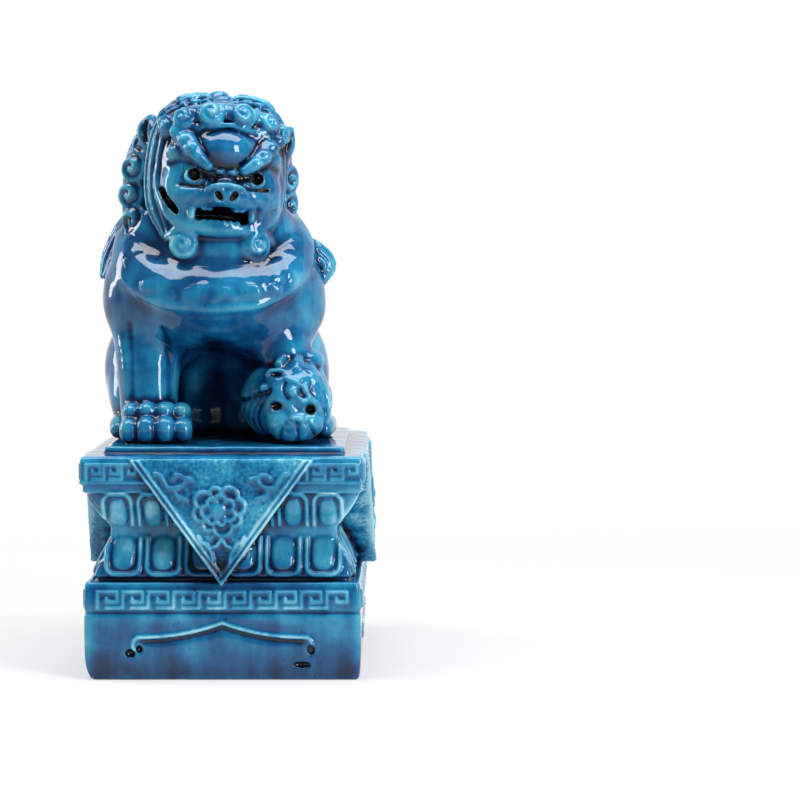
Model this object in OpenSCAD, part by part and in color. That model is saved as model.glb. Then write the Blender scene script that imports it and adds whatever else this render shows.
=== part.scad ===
// Seated guardian lion on a lotus plinth, hollow earthenware under one glossy glaze.
// The pieces are cast or press-moulded apart and luted together with slip.
// The lion faces -Y with its left forepaw on a cub, and +X is the viewer's right.
// The origin is the middle of the plinth's underside.

/* [Plinth] */
// Width of the plinth across the cornice
plinth_w = 121; // [96:1:150]
// Depth of the plinth from front to back
plinth_d = 140; // [116:1:180]
// Height of the foot block
foot_h = 42; // [34:0.5:52]
// How far the foot's faces belly out between their edges
foot_belly = 1.8; // [0.4:0.1:3]
// Height of the groove under the lower petals
groove_h = 2; // [1:0.1:4]
// How far the lower petals stand in from the cornice's face
lower_inset = 5; // [3:0.1:7]
// Height of each row of lotus petals
petal_row_h = 15.4; // [12:0.1:19]
// Height of the plain band round the waist
band_h = 5.8; // [4:0.1:9]
// How far the waist stands in from the cornice's face
waist_inset = 11.5; // [9:0.1:14]
// Height of the bead under the cornice
bead_h = 3; // [2:0.1:4]
// Height of the cornice
cornice_h = 12.5; // [10:0.1:16]
// Thickness of the cast walls
wall = 6; // [4:0.1:8]
// Diameter of the vent between the plinth and the lion
vent_d = 18; // [10:0.5:24]

/* [Seat mat] */
// Width of the mat
mat_w = 104; // [88:1:110]
// Depth of the mat
mat_d = 106; // [100:1:130]
// Thickness of the mat
mat_h = 2.8; // [2:0.1:4]

/* [Plinth ornament] */
// Petals across the front in the upper row
upper_petals = 7; // [5:1:9]
// Petals across the front in the lower row
lower_petals = 6; // [4:1:8]
// Gap between neighbouring petals
petal_gap = 1.6; // [1:0.1:3]
// How far petals stand out of the plinth
petal_rise = 1.3; // [0.8:0.1:2]
// Width of the rim round each petal
petal_rim = 1.5; // [1:0.1:2]
// Length of one key of the fret
key_w = 10.4; // [8:0.1:14]
// Height of the foot's fret
foot_key_h = 8.6; // [6:0.1:10]
// Height of the cornice's fret
cornice_key_h = 7.6; // [6:0.1:8]
// Width of the fret's line
key_line = 1.3; // [1:0.1:1.6]
// How far the fret stands out
key_rise = 0.8; // [0.5:0.1:1.2]
// Half width of the bracket-shaped panel in the foot
bracket_half_w = 36.5; // [30:0.5:44]
// Height of the bracket panel's peak above the ground
bracket_peak = 23.5; // [21:0.5:26]
// Height of the bracket panel's shoulders above the ground
bracket_shoulder = 17.4; // [15:0.1:19]
// Height of the bracket panel's feet above the ground
bracket_foot = 9; // [6:0.5:12]
// Depth of the bracket panel
bracket_depth = 1.4; // [0.8:0.1:2]

/* [Apron cloth] */
// Width of each cloth corner along the cornice
apron_w = 78; // [66:1:90]
// How far each cloth corner hangs below the cornice's top
apron_drop = 53.5; // [46:0.5:60]
// How far the cloth stands out of the cornice
apron_rise = 1; // [0.6:0.1:2]
// Width of the hem along the cloth's edges
hem_w = 2.2; // [1.6:0.1:3]
// How far the hem and the sprigs stand out of the cloth
sprig_rise = 0.9; // [0.5:0.1:1.4]
// Diameter of the peony
peony_d = 24; // [20:0.5:27]

/* [Lion] */
// Sideways place of the lion's spine
spine_x = -7.5; // [-9:0.5:0]
// Thickness of the lion's cast walls
skin = 8; // [6:0.5:10]
// Width of the cub's head
cub_head_w = 26; // [22:0.5:29]
// Width of each toe of the forepaws
toe_w = 8; // [7:0.1:9]
// Turn of the head towards the cub
head_turn = 11; // [0:1:14]
// Tilt of the head towards the cub
head_tilt = 4; // [0:1:8]
// Width of the mouth's opening
mouth_w = 22; // [16:0.5:26]
// Height of the mouth's opening
mouth_h = 5; // [4:0.1:7]
// Diameter of the snail curls over the brow
curl_d = 12; // [9:0.1:13]
// Diameter of the eyeballs
eye_d = 9; // [7:0.1:10]

/* [Hidden] */

glaze_blue = [0.10, 0.45, 0.66];
glaze_deep = [0.05, 0.25, 0.50];
glaze_thin = [0.25, 0.62, 0.74];

waist_h = groove_h + 2 * petal_row_h + band_h + bead_h;
cornice_z = foot_h + waist_h;
plinth_h = cornice_z + cornice_h;
seat_z = plinth_h + mat_h;
upper_inset = 3;
bead_inset = 1;
corner_r = 1.5;
arc_steps = 6;
reach = 40;

// Outline of the foot's side as [inset, height], bellied as a shallow arch
foot_outline = [for (i = [0:arc_steps]) [foot_belly * pow(2 * i / arc_steps - 1, 2), foot_h * i / arc_steps]];

// Outline of the waist: groove, lower petals' swell, band, upper petals' swell, bead
lower_swell_z = groove_h;
band_z = lower_swell_z + petal_row_h;
upper_swell_z = band_z + band_h;
bead_z = upper_swell_z + petal_row_h;
function lower_swell(rise) = [for (i = [0:arc_steps]) let (a = 90 * i / arc_steps)
    [lower_inset + (waist_inset - lower_inset) * (1 - cos(a)) - rise, lower_swell_z + petal_row_h * sin(a)]];
function upper_swell(rise) = [for (i = [0:arc_steps]) let (a = 90 * i / arc_steps)
    [waist_inset - (waist_inset - upper_inset) * sin(a) - rise, upper_swell_z + petal_row_h * (1 - cos(a))]];
waist_outline = concat([[lower_inset, 0]], lower_swell(0), upper_swell(0),
    [[bead_inset, bead_z], [bead_inset, waist_h]]);

// Outline of the cornice, with a rounded upper edge
cornice_outline = concat([[0, 0]], [for (i = [0:arc_steps]) let (a = 90 * i / arc_steps)
    [corner_r * (1 - cos(a)), cornice_h - corner_r * (1 - sin(a))]]);

function both_sides(outline, half) = concat([for (p = outline) [half - p.x, p.y]],
    [for (i = [len(outline) - 1:-1:0]) [outline[i].x - half, outline[i].y]]);

// A block with the outline on all four sides, mitred at the corners
module moulded(outline) {
    intersection() {
        rotate([90, 0, 0]) linear_extrude(plinth_d + 2 * reach, center = true)
            polygon(both_sides(outline, plinth_w / 2));
        rotate([90, 0, 90]) linear_extrude(plinth_w + 2 * reach, center = true)
            polygon(both_sides(outline, plinth_d / 2));
    }
}

// Turns what is drawn for the front face, in [across, up, out of the face], to one of the four faces
module on_face(side) {
    turn = [0, 90, 180, 270][side];
    out = side % 2 == 0 ? plinth_d / 2 : plinth_w / 2;
    rotate([0, 0, turn]) translate([0, -out, 0]) rotate([90, 0, 0]) children();
}
function face_w(side) = side % 2 == 0 ? plinth_w : plinth_d;
function on_side(count, side) = round(count * face_w(side) / plinth_w);

// The quarter of the plinth that belongs to one face, bounded by the corner mitres
module face_quarter(side) {
    half = face_w(side) / 2 + reach;
    deep = min(plinth_w, plinth_d) / 2;
    inner = face_w(side) / 2 - deep;
    on_face(side) rotate([-90, 0, 0]) linear_extrude(2 * plinth_h, center = true)
        polygon([[-half, -reach], [half, -reach], [inner, deep], [-inner, deep]]);
}

module foot_form() { moulded(foot_outline); }
module waist_form() { translate([0, 0, foot_h]) moulded(waist_outline); }
module cornice_form() { translate([0, 0, cornice_z]) moulded(cornice_outline); }
module plinth_form() {
    foot_form();
    waist_form();
    cornice_form();
}

// Bracket panel: two flat curves that rise to a point, over short straight feet
module bracket_panel() {
    drop = bracket_peak - bracket_shoulder;
    curve = [for (i = [0:arc_steps]) let (t = i / arc_steps)
        [bracket_half_w * t, bracket_peak - drop * (1 - pow(1 - t, 2.5))]];
    side = concat(curve, [[bracket_half_w, bracket_foot]]);
    polygon(concat([for (p = side) p], [for (i = [len(side) - 1:-1:1]) [-side[i].x, side[i].y]]));
}

module plinth_foot() {
    hollow_inset = foot_belly + wall;
    color(glaze_blue) difference() {
        foot_form();
        translate([0, 0, foot_h / 2])
            cube([plinth_w - 2 * hollow_inset, plinth_d - 2 * hollow_inset, 2 * foot_h], center = true);
        for (side = [0:3]) on_face(side) translate([0, 0, -bracket_depth])
            linear_extrude(reach) bracket_panel();
    }
}

module plinth_waist() {
    hollow_inset = waist_inset + wall;
    color(glaze_blue) difference() {
        waist_form();
        translate([0, 0, foot_h + waist_h / 2])
            cube([plinth_w - 2 * hollow_inset, plinth_d - 2 * hollow_inset, 2 * waist_h], center = true);
    }
}

module plinth_cornice() {
    hollow_inset = waist_inset + wall;
    color(glaze_blue) difference() {
        cornice_form();
        hollow_h = 2 * (cornice_h - wall);
        translate([0, 0, cornice_z])
            cube([plinth_w - 2 * hollow_inset, plinth_d - 2 * hollow_inset, hollow_h], center = true);
        cylinder(h = 2 * plinth_h, d = vent_d);
    }
}

module seat_mat() {
    color(glaze_blue) translate([0, 0, plinth_h]) difference() {
        translate([-mat_w / 2, -mat_d / 2, 0]) cube([mat_w, mat_d, mat_h]);
        cylinder(h = 3 * mat_h, d = vent_d, center = true);
    }
}

// One lotus petal seen flat, pointing up: an arched rim, a groove and an oval boss
petal_groove = 0.7 * petal_rim;
module petal(w) {
    arch_r = w / 2;
    straight = petal_row_h - arch_r - petal_gap;
    difference() {
        arch(arch_r, straight);
        arch(arch_r - petal_rim, straight);
        translate([-w, -petal_row_h]) square([2 * w, petal_row_h]);
    }
    boss_r = arch_r - petal_rim - petal_groove;
    translate([0, petal_gap]) arch(boss_r, straight - petal_gap);
    translate([0, petal_gap + boss_r]) circle(boss_r);
}
module arch(r, straight) {
    translate([0, straight]) circle(r);
    translate([-r, 0]) square([2 * r, straight]);
}

// A row of petals on all four faces, cut from a skin that follows the swell
module petal_row(count, swell, raised, point_up) {
    for (side = [0:3]) {
        n = on_side(count, side);
        pitch = (face_w(side) - 2 * waist_inset + petal_gap) / n;
        intersection() {
            translate([0, 0, foot_h]) difference() {
                moulded(raised);
                moulded(swell);
            }
            face_quarter(side);
            on_face(side) translate([0, 0, -waist_inset]) linear_extrude(reach) difference() {
                for (i = [0:n - 1]) translate([(i - (n - 1) / 2) * pitch, 0])
                    if (point_up) translate([0, foot_h + upper_swell_z]) petal(pitch - petal_gap);
                    else translate([0, foot_h + band_z]) mirror([0, 1]) petal(pitch - petal_gap);
                apron_shape(0);
            }
        }
    }
}
module lower_lotus_petals() {
    color(glaze_thin) petal_row(lower_petals, lower_swell(0), lower_swell(petal_rise), false);
}
module upper_lotus_petals() {
    color(glaze_thin) petal_row(upper_petals, upper_swell(0), upper_swell(petal_rise), true);
}

// One key of the fret: up, across, down and back inside itself
module fret_key(h) {
    span = key_w - 2 * key_line;
    square([key_line, h]);
    translate([0, h - key_line]) square([span, key_line]);
    translate([span - key_line, h / 3]) square([key_line, 2 * h / 3]);
    translate([span / 2 - key_line / 2, h / 3]) square([span / 2, key_line]);
}
module fret_run(first, last, h) {
    n = floor((last - first) / key_w);
    start = (first + last - n * key_w) / 2 + key_line;
    if (n > 0) for (i = [0:n - 1]) translate([start + i * key_w, 0]) fret_key(h);
}

module foot_fret() {
    fret_z = foot_h - foot_key_h - 2 * key_line;
    color(glaze_thin) difference() {
        for (side = [0:3]) on_face(side) translate([0, 0, -2 * foot_belly])
            linear_extrude(2 * foot_belly + key_rise) difference() {
                translate([0, fret_z]) fret_run(-face_w(side) / 2, face_w(side) / 2, foot_key_h);
                apron_shape(0);
            }
        foot_form();
    }
}

module cornice_fret() {
    fret_z = cornice_z + (cornice_h - corner_r - cornice_key_h) / 2;
    color(glaze_thin) for (side = [0:3]) on_face(side) translate([0, fret_z, 0]) linear_extrude(key_rise)
        for (end = [-1, 1]) {
            inner = apron_w / 2;
            outer = face_w(side) / 2;
            if (end < 0) fret_run(-outer, -inner, cornice_key_h);
            else fret_run(inner, outer, cornice_key_h);
        }
}

// Apron cloth: the corner of a square cloth hanging over the plinth's edge
apron_z = plinth_h - corner_r;
apron_end = apron_z - apron_drop;
module apron_shape(inset) {
    half = apron_w / 2;
    lean = sqrt(half * half + apron_drop * apron_drop);
    polygon([[inset * lean / apron_drop - half, apron_z], [half - inset * lean / apron_drop, apron_z],
        [0, apron_end + inset * lean / half]]);
}
module apron(side) {
    root = waist_inset + 1;
    color(glaze_blue) difference() {
        on_face(side) translate([0, 0, -root]) linear_extrude(root + apron_rise) apron_shape(0);
        plinth_form();
    }
}

module on_aprons() {
    for (side = [0:3]) on_face(side) translate([0, 0, apron_rise]) linear_extrude(sprig_rise) children();
}
module apron_hems() {
    color(glaze_thin) on_aprons() difference() {
        apron_shape(0);
        apron_shape(hem_w);
        translate([-apron_w, apron_z - 0.01]) square([2 * apron_w, 1]);
    }
}

// Peony: a ring of round petals about a heart, with a groove between them
peony_z = apron_z - 24;
peony_petals = 8;
module peony_sprigs() {
    petal_d = peony_d * 0.36;
    groove_d = peony_d * 0.5;
    heart_d = peony_d * 0.34;
    ring_r = (peony_d - petal_d) / 2;
    color(glaze_thin) on_aprons() translate([0, peony_z]) difference() {
        union() {
            circle(r = ring_r);
            for (i = [0:peony_petals - 1])
                rotate(360 * i / peony_petals) translate([ring_r, 0]) circle(d = petal_d);
        }
        difference() {
            circle(d = groove_d);
            circle(d = heart_d);
        }
    }
}

// Cloud scrolls: two hooked arcs on each side above the peony
scroll_x = 22;
scroll_z = apron_z - 10;
scroll_r = 4.2;
scroll_line = 1.3;
module cloud_scroll() {
    difference() {
        circle(r = scroll_r);
        circle(r = scroll_r - scroll_line);
        translate([-scroll_r, 0]) square([scroll_r, scroll_r]);
    }
    translate([-2 * scroll_r + scroll_line, 0]) difference() {
        circle(r = scroll_r);
        circle(r = scroll_r - scroll_line);
        translate([-scroll_r, -scroll_r]) square([2 * scroll_r, scroll_r]);
    }
}
module cloud_scroll_sprigs() {
    color(glaze_thin) on_aprons() for (end = [0, 1])
        mirror([end, 0]) translate([scroll_x, scroll_z]) cloud_scroll();
}

// Leaves: a pair under the peony, each where two round cuts cross
leaf_r = 3.4;
leaf_gap = 0.6;
module leaf_stem_sprigs() {
    stem_top = peony_z - peony_d / 2 - sprig_rise;
    color(glaze_thin) on_aprons() for (end = [0, 1]) mirror([end, 0])
        translate([leaf_r + leaf_gap, stem_top - leaf_r]) intersection() {
            circle(r = leaf_r);
            translate([-leaf_r * 0.9, 0]) circle(r = leaf_r);
        }
}

// One rounded lump of clay, the skin stretched over one or more eggs given as [centre, half sizes]
module lump(eggs, facets = 14) {
    hull() for (egg = eggs) translate(egg[0]) scale(egg[1]) sphere(1, $fn = facets);
}
// A run of round lumps along points given as [x, y, z, radius]
module roll(points, facets = 10) {
    for (i = [0:len(points) - 2])
        lump([for (p = [points[i], points[i + 1]]) [[p.x, p.y, p.z], [1, 1, 1] * p[3]]], facets);
}
// Puts a form drawn about the lion's spine and seat in its place
module seated() { translate([spine_x, 0, seat_z]) children(); }
module above_seat() { translate([-reach * 3, -reach * 3, seat_z]) cube(reach * 6); }

// Torso: chest and neck in front, back and rump behind, drawn in above the forepaws
module torso_form() {
    seated() {
        lump([[[0, -8, 63], [40, 33, 30]], [[0, 14, 48], [36, 36, 34]]], 18);
        lump([[[0, 16, 40], [34, 32, 32]], [[0, 33, 24], [37, 27, 25]]], 18);
        lump([[[0, -6, 80], [32, 28, 20]], [[2, -10, 100], [25, 22, 14]]], 18);
    }
}
module torso_hollow() {
    seated() {
        lump([[[0, 0, 58], [38 - skin, 32 - skin, 32 - skin]],
            [[0, 24, 14], [32 - skin, 27 - skin, 24 - skin]]]);
        lump([[[0, 14, 30], [24 - skin, 24 - skin, 20]], [[-spine_x, 4, -mat_h], [24 - skin, 24 - skin, 6]]]);
    }
}
module torso() {
    color(glaze_blue) intersection() {
        difference() {
            torso_form();
            torso_hollow();
            mouth_passage();
            cylinder(h = seat_z + skin, d = vent_d);
        }
        above_seat();
    }
}

// Fold of the ruff round the throat, a smooth crescent over the chest
ring_points = [for (a = [-72:18:72]) [37 * sin(a), -4 - 32 * cos(a), 88 - 15 * cos(a), 6]];
module ring_form() {
    seated() roll(ring_points, 10);
}
module neck_ring() {
    color(glaze_blue) difference() {
        ring_form();
        torso_form();
        right_foreleg_form();
        left_foreleg_form();
    }
}
// Collar band laid over the chest from shoulder to shoulder, with studs along it
collar_points = [for (a = [-75:15:75]) [40 * sin(a), -8 - 33.5 * cos(a), 76 - 12 * cos(a), 4.6]];
module collar_form() {
    seated() roll(collar_points, 8);
}
module chest_collar() {
    color(glaze_thin) difference() {
        collar_form();
        torso_form();
        ring_form();
        right_foreleg_form();
        left_foreleg_form();
    }
}
module collar_studs() {
    color(glaze_thin) difference() {
        seated() for (a = [-52, -31, -11, 11, 31, 52])
            lump([[[40 * sin(a), -9 - 36 * cos(a), 75.5 - 12 * cos(a)], [3.4, 3, 3]]], 8);
        collar_form();
        torso_form();
        ring_form();
        right_foreleg_form();
        left_foreleg_form();
    }
}

// Forelegs: a full shoulder over a straight column
module right_foreleg_form() {
    seated() {
        lump([[[-33, -4, 60], [17, 22, 26]], [[-30, -10, 42], [16, 15, 18]]]);
        roll([[-30, -10, 42, 15], [-28, -16, 24, 13.5], [-27, -18, 11, 13]], 14);
    }
}
module right_foreleg() {
    color(glaze_blue) intersection() {
        difference() {
            right_foreleg_form();
            torso_form();
            right_haunch_form();
        }
        above_seat();
    }
}
module left_foreleg_form() {
    seated() {
        lump([[[34, -4, 61], [17, 22, 25]], [[32, -12, 47], [16, 15, 14]]]);
        roll([[32, -12, 46, 15], [34, -20, 38, 12]], 14);
    }
}
module left_foreleg() {
    color(glaze_blue) difference() {
        left_foreleg_form();
        torso_form();
        left_haunch_form();
        cub_body_form();
        cub_head_form();
    }
}

// A paw: a palm, and four toes with a raised knuckle behind each rounded tip
paw_toes = 4;
module paw(palm_h, length) {
    pitch = toe_w - 0.2;
    roll([[0, 0, palm_h, 11], [0, -length * 0.5, palm_h - 1, 10]]);
    for (i = [0:paw_toes - 1]) {
        x = (i - (paw_toes - 1) / 2) * pitch;
        roll([[x, -length * 0.5, palm_h + 2, toe_w * 0.58], [x, -length * 0.8, palm_h + 1, toe_w * 0.55],
            [x, -length, palm_h - 4, toe_w * 0.5]], 8);
    }
}
module right_forepaw_form() {
    seated() translate([-24.2, -20, 0]) paw(10, 22);
}
module right_forepaw() {
    color(glaze_thin) intersection() {
        difference() {
            right_forepaw_form();
            right_foreleg_form();
        }
        above_seat();
    }
}
module left_forepaw_form() {
    seated() translate([39, -20, 36]) rotate([38, 14, 4]) paw(0, 20);
}
module left_forepaw() {
    color(glaze_thin) difference() {
        left_forepaw_form();
        left_foreleg_form();
        cub_body_form();
        cub_head_form();
        torso_form();
    }
}

// Cub lying under the left forepaw: a rounded body, a head that looks out, and its small features
module cub_body_form() {
    seated() {
        lump([[[30, -22, 17], [18, 14, 18]], [[36, -24, 16], [17, 14, 17]]]);
        lump([[[22, -28, 11], [8, 10, 12]], [[42, -28, 10], [9, 11, 11]]]);
    }
}
module cub_body() {
    color(glaze_blue) intersection() {
        difference() {
            cub_body_form();
            torso_form();
            left_haunch_form();
            right_forepaw_form();
        }
        above_seat();
    }
}
module cub_head_form() {
    seated() {
        lump([[[31, -35, 22], [cub_head_w / 2, 10, cub_head_w / 2]]]);
        lump([[[28, -41, 17], [5, 6, 4]], [[36, -41, 17], [5, 6, 4]]], 12);
    }
}
module cub_head() {
    color(glaze_blue) difference() {
        cub_head_form();
        cub_body_form();
        seated() for (x = [25, 38]) lump([[[x, -44, 14], [3, 5, 1.6]]], 8);
        seated() for (x = [26.5, 36]) lump([[[x, -44.5, 26], [2.2, 2.2, 2.2]]], 8);
    }
}
module cub_features() {
    color(glaze_thin) difference() {
        seated() {
            for (x = [26.5, 36]) lump([[[x, -43.5, 26], [2, 2, 2]]], 8);
            lump([[[32, -47, 19], [3, 2.4, 2.2]]], 8);
            for (x = [21, 42]) roll([[x, -31, 27, 3.5], [x * 1.04 - 1, -31, 33, 2.2]], 8);
            roll([[24, -40, 8, 4], [22, -44, 4, 4]], 8);
            roll([[38, -40, 8, 4], [41, -44, 4, 4]], 8);
        }
        cub_head_form();
        cub_body_form();
        left_forepaw_form();
        left_foreleg_form();
        translate([0, 0, seat_z - reach]) cube([6 * reach, 6 * reach, 2 * reach], center = true);
    }
}

// Hind legs folded at the lion's sides
module right_haunch_form() {
    seated() lump([[[-33, 28, 27], [17, 26, 28]], [[-35, 6, 15], [13, 13, 15]]]);
}
module left_haunch_form() {
    seated() lump([[[33, 28, 27], [17, 26, 28]], [[35, 8, 15], [13, 13, 15]]]);
}
module haunch_ribs(end) {
    seated() for (y = [16, 32]) lump([[[end * 50, y, 22], [2, 1.5, 14]]], 8);
}
module right_haunch() {
    color(glaze_blue) intersection() {
        difference() {
            right_haunch_form();
            torso_form();
            haunch_ribs(-1);
            tail_form();
        }
        above_seat();
    }
}
module left_haunch() {
    color(glaze_blue) intersection() {
        difference() {
            left_haunch_form();
            torso_form();
            haunch_ribs(1);
            tail_form();
        }
        above_seat();
    }
}
module hind_paw_form() {
    for (i = [-1, 0, 1]) roll([[i * 5, 2, 5, 5.5], [i * 5, -8, 5, 4.6], [i * 5, -14, 3, 3.8]], 8);
}
module right_hind_paw() {
    color(glaze_thin) intersection() {
        difference() {
            seated() translate([-42, -3, 0]) hind_paw_form();
            right_haunch_form();
            right_foreleg_form();
            right_forepaw_form();
        }
        above_seat();
    }
}
module left_hind_paw() {
    color(glaze_thin) intersection() {
        difference() {
            seated() translate([45, 2, 0]) hind_paw_form();
            left_haunch_form();
            left_foreleg_form();
            cub_body_form();
            cub_head_form();
        }
        above_seat();
    }
}

// Tail laid up the back, a broad flame with side curls
module tail_form() {
    seated() {
        roll([[0, 55, 12, 8], [0, 58, 30, 11], [0, 54, 52, 12], [0, 46, 72, 9], [0, 44, 86, 4]], 10);
        for (end = [-1, 1]) {
            roll([[end * 8, 56, 26, 7], [end * 17, 53, 40, 5]], 8);
            roll([[end * 7, 52, 54, 7], [end * 15, 48, 66, 4]], 8);
        }
    }
}
module tail() {
    color(glaze_blue) intersection() {
        difference() {
            tail_form();
            torso_form();
            nape_form();
        }
        above_seat();
    }
}

// Head, drawn about a point between the ears' roots and then turned towards the cub
head_at = [1, -8, 113];
module posed() {
    seated() translate(head_at) rotate([0, head_tilt, head_turn]) children();
}
skull_c = [0, 2, 14];
skull_r = [32, 29, 24];
module head_form() {
    lump([[skull_c, skull_r], [[0, -14, 2], [26, 17, 18]]], 18);
    lump([[[-12, -32, -6], [10, 10, 8]], [[12, -32, -6], [10, 10, 8]], [[0, -37, -6], [12, 9, 8]]], 16);
    for (end = [-1, 1]) lump([[[end * 21, -18, -8], [8, 13, 14]]]);
}
module jaw_form() {
    lump([[[0, -33, -20], [15, 10, 5.5]], [[0, -16, -22], [18, 10, 8]]], 16);
}
mouth_z = -13.5;
module mouth_passage() {
    posed() mouth_slot();
}
module mouth_slot() {
    translate([-mouth_w / 2, -2 * reach, mouth_z - mouth_h / 2]) cube([mouth_w, 2 * reach - 8, mouth_h]);
}
module head_hollow() {
    lump([[[0, 4, 10], [32 - skin, 28 - skin, 24 - skin]],
        [[0, -14, -8], [22 - skin, 16 - skin, 14 - skin]]]);
    mouth_slot();
}
nostril_d = 3;
nostril_end_y = -42;
module nostrils() {
    for (end = [-1, 1]) translate([end * 5, nostril_end_y, -5]) rotate([90, 0, 0])
        cylinder(h = reach, d = nostril_d, $fn = 12);
}
module head() {
    color(glaze_blue) difference() {
        posed() difference() {
            head_form();
            head_hollow();
            eye_forms();
            jaw_form();
        }
        torso_form();
    }
}
module lower_jaw() {
    color(glaze_blue) difference() {
        posed() difference() {
            jaw_form();
            head_hollow();
        }
        torso_form();
        ring_form();
    }
}
module head_walls() {
    difference() {
        head_form();
        head_hollow();
    }
}
module tongue_and_lower_teeth() {
    bite_z = mouth_z - mouth_h / 2 - 0.5;
    color(glaze_thin) difference() {
        posed() difference() {
            union() {
                lump([[[0, -32, bite_z], [7, 8, 2]]], 10);
                for (x = [-9, 9]) lump([[[x, -37, bite_z], [1.6, 1.6, 3.4]]], 8);
                for (x = [-5:2.5:5]) lump([[[x, -40.5, bite_z], [1.1, 1, 2]]], 8);
            }
            jaw_form();
            head_walls();
        }
        torso_form();
    }
}
module upper_teeth() {
    bite_z = mouth_z + mouth_h / 2;
    color(glaze_thin) posed() difference() {
        union() {
            for (x = [-9.5, 9.5]) lump([[[x, -38, bite_z], [1.7, 1.7, 3.2]]], 8);
            for (x = [-6:3:6]) lump([[[x, -42, bite_z], [1.3, 1, 1.4]]], 8);
        }
        head_walls();
    }
}
module nose() {
    color(glaze_blue) posed() difference() {
        lump([[[-5.5, -44, -3.5], [4.5, 4, 4]], [[5.5, -44, -3.5], [4.5, 4, 4]], [[0, -43, 0], [6, 4, 4]]]);
        head_form();
        nostrils();
        brow_forms();
        boss_form();
    }
}
module boss_form() {
    lump([[[0, -27, 15], [13, 11, 12]]], 16);
}
module forehead_boss() {
    color(glaze_blue) posed() difference() {
        boss_form();
        head_form();
        brow_forms();
        for (p = forelock_places) curl_form(p, curl_d);
    }
}
// Brows: thick rolls that curl up at their outer ends
module brow_form(end) {
    roll([[end * 5, -37, 5, 3], [end * 11, -35, 8, 4.2], [end * 18, -30, 13, 4.4],
        [end * 22, -25, 18, 3.6]], 10);
}
module brow_forms() {
    for (end = [-1, 1]) brow_form(end);
}
module brow(end) {
    color(glaze_thin) posed() difference() {
        brow_form(end);
        head_form();
        eye_forms();
        for (p = forelock_places) curl_form(p, curl_d);
    }
}
module right_brow() { brow(-1); }
module left_brow() { brow(1); }

// Eyes, set in sockets under the brows, with a drilled pupil
eye_at = [14.5, -30.5, 2.5];
pupil_r = [1.5, 1.2, 1.8];
module eye_forms() {
    for (end = [-1, 1]) lump([[[end * eye_at.x, eye_at.y, eye_at.z], [1, 1, 1] * eye_d / 2]], 14);
}
module eyeballs() {
    color(glaze_deep) posed() difference() {
        eye_forms();
        head_hollow();
        for (end = [-1, 1]) lump([[[end * eye_at.x, eye_at.y - eye_d / 2, 2], pupil_r]], 8);
        jaw_form();
        for (p = forelock_places) curl_form(p, curl_d);
    }
}

// Ears: leaf-shaped, behind the brow's outer ends
module ear_form(end) {
    lump([[[end * 29, -6, 16], [4, 8, 7]], [[end * 36, -6, 27], [2, 3, 4]]], 12);
}
module ear(end) {
    color(glaze_blue) posed() difference() {
        ear_form(end);
        lump([[[end * 32, -15, 20], [3, 6, 5]]], 10);
        head_form();
        brow_forms();
        for (p = forelock_places) curl_form(p, curl_d);
        for (p = crown_places) curl_form(p, curl_d);
    }
}
module right_ear() { ear(-1); }
module left_ear() { ear(1); }

// Snail curls: a dished button of hair, standing square to the skull
function on_skull(lon, lat) = [skull_c.x + skull_r.x * cos(lat) * sin(lon),
    skull_c.y - skull_r.y * cos(lat) * cos(lon), skull_c.z + skull_r.z * sin(lat)];
forelock_places = [[-70, 26], [-43, 33], [-15, 37], [15, 37], [43, 33], [70, 26]];
crown_places = concat([for (lon = [-68:34:68]) [lon, 62]], [for (lon = [108:36:252]) [lon, 58]], [[180, 86]]);
module at_curl(place) {
    translate(on_skull(place[0], place[1])) rotate([0, 90 - place[1], place[0] - 90]) children();
}
module curl_form(place, d) {
    at_curl(place) lump([[[0, 0, 0], [d / 2, d / 2, 4]], [[0, 0, 2], [d / 2 - 1.2, d / 2 - 1.2, 3]]], 10);
}
module curl_dish(place, d) {
    at_curl(place) lump([[[0, 0, 6], [d / 4, d / 4, 2]]], 8);
}
module forelock_curls() {
    color(glaze_thin) posed() difference() {
        for (p = forelock_places) curl_form(p, curl_d - 0.6);
        for (p = forelock_places) curl_dish(p, curl_d);
        head_form();
    }
}
module crown_curls() {
    color(glaze_thin) posed() difference() {
        for (p = crown_places) curl_form(p, curl_d - 0.6);
        for (p = crown_places) curl_dish(p, curl_d);
        head_form();
        for (p = forelock_places) curl_form(p, curl_d);
    }
}

// Mane: wavy locks behind the cheeks, fuller on the lion's right
module mane_form(end) {
    full = end < 0 ? 6 : 0;
    out = end * (31 + full);
    roll([[end * 27, 2, 26, 7], [end * 30, -2, 8, 7], [end * 30, -4, -10, 7], [end * 27, -6, -24, 5]], 10);
    roll([[end * 26, 12, 26, 8], [out, 12, 10, 8], [out, 10, -4, 7], [out - end * 3, 8, -18, 6]], 10);
    roll([[end * 24, 20, 16, 8], [end * 30, 22, -6, 8], [end * 28, 22, -26, 6]], 10);
}
module mane(end) {
    color(glaze_blue) difference() {
        posed() difference() {
            mane_form(end);
            head_form();
            jaw_form();
            ear_form(end);
            for (p = crown_places) curl_form(p, curl_d);
            for (p = forelock_places) curl_form(p, curl_d);
        }
        torso_form();
        ring_form();
        right_foreleg_form();
        left_foreleg_form();
    }
}
module right_mane() { mane(-1); }
module left_mane() { mane(1); }

// Nape: three thick strands down the back of the neck
module nape_form() {
    posed() for (x = [-16, 0, 16])
        roll([[x * 0.8, 26, 16, 8], [x, 30, -4, 9], [x, 32, -22, 8], [x * 1.1, 34, -38, 5]], 10);
}
module nape_mane() {
    color(glaze_blue) difference() {
        nape_form();
        posed() {
            head_form();
            for (end = [-1, 1]) mane_form(end);
            for (p = crown_places) curl_form(p, curl_d);
        }
        torso_form();
        right_foreleg_form();
        left_foreleg_form();
    }
}

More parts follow.
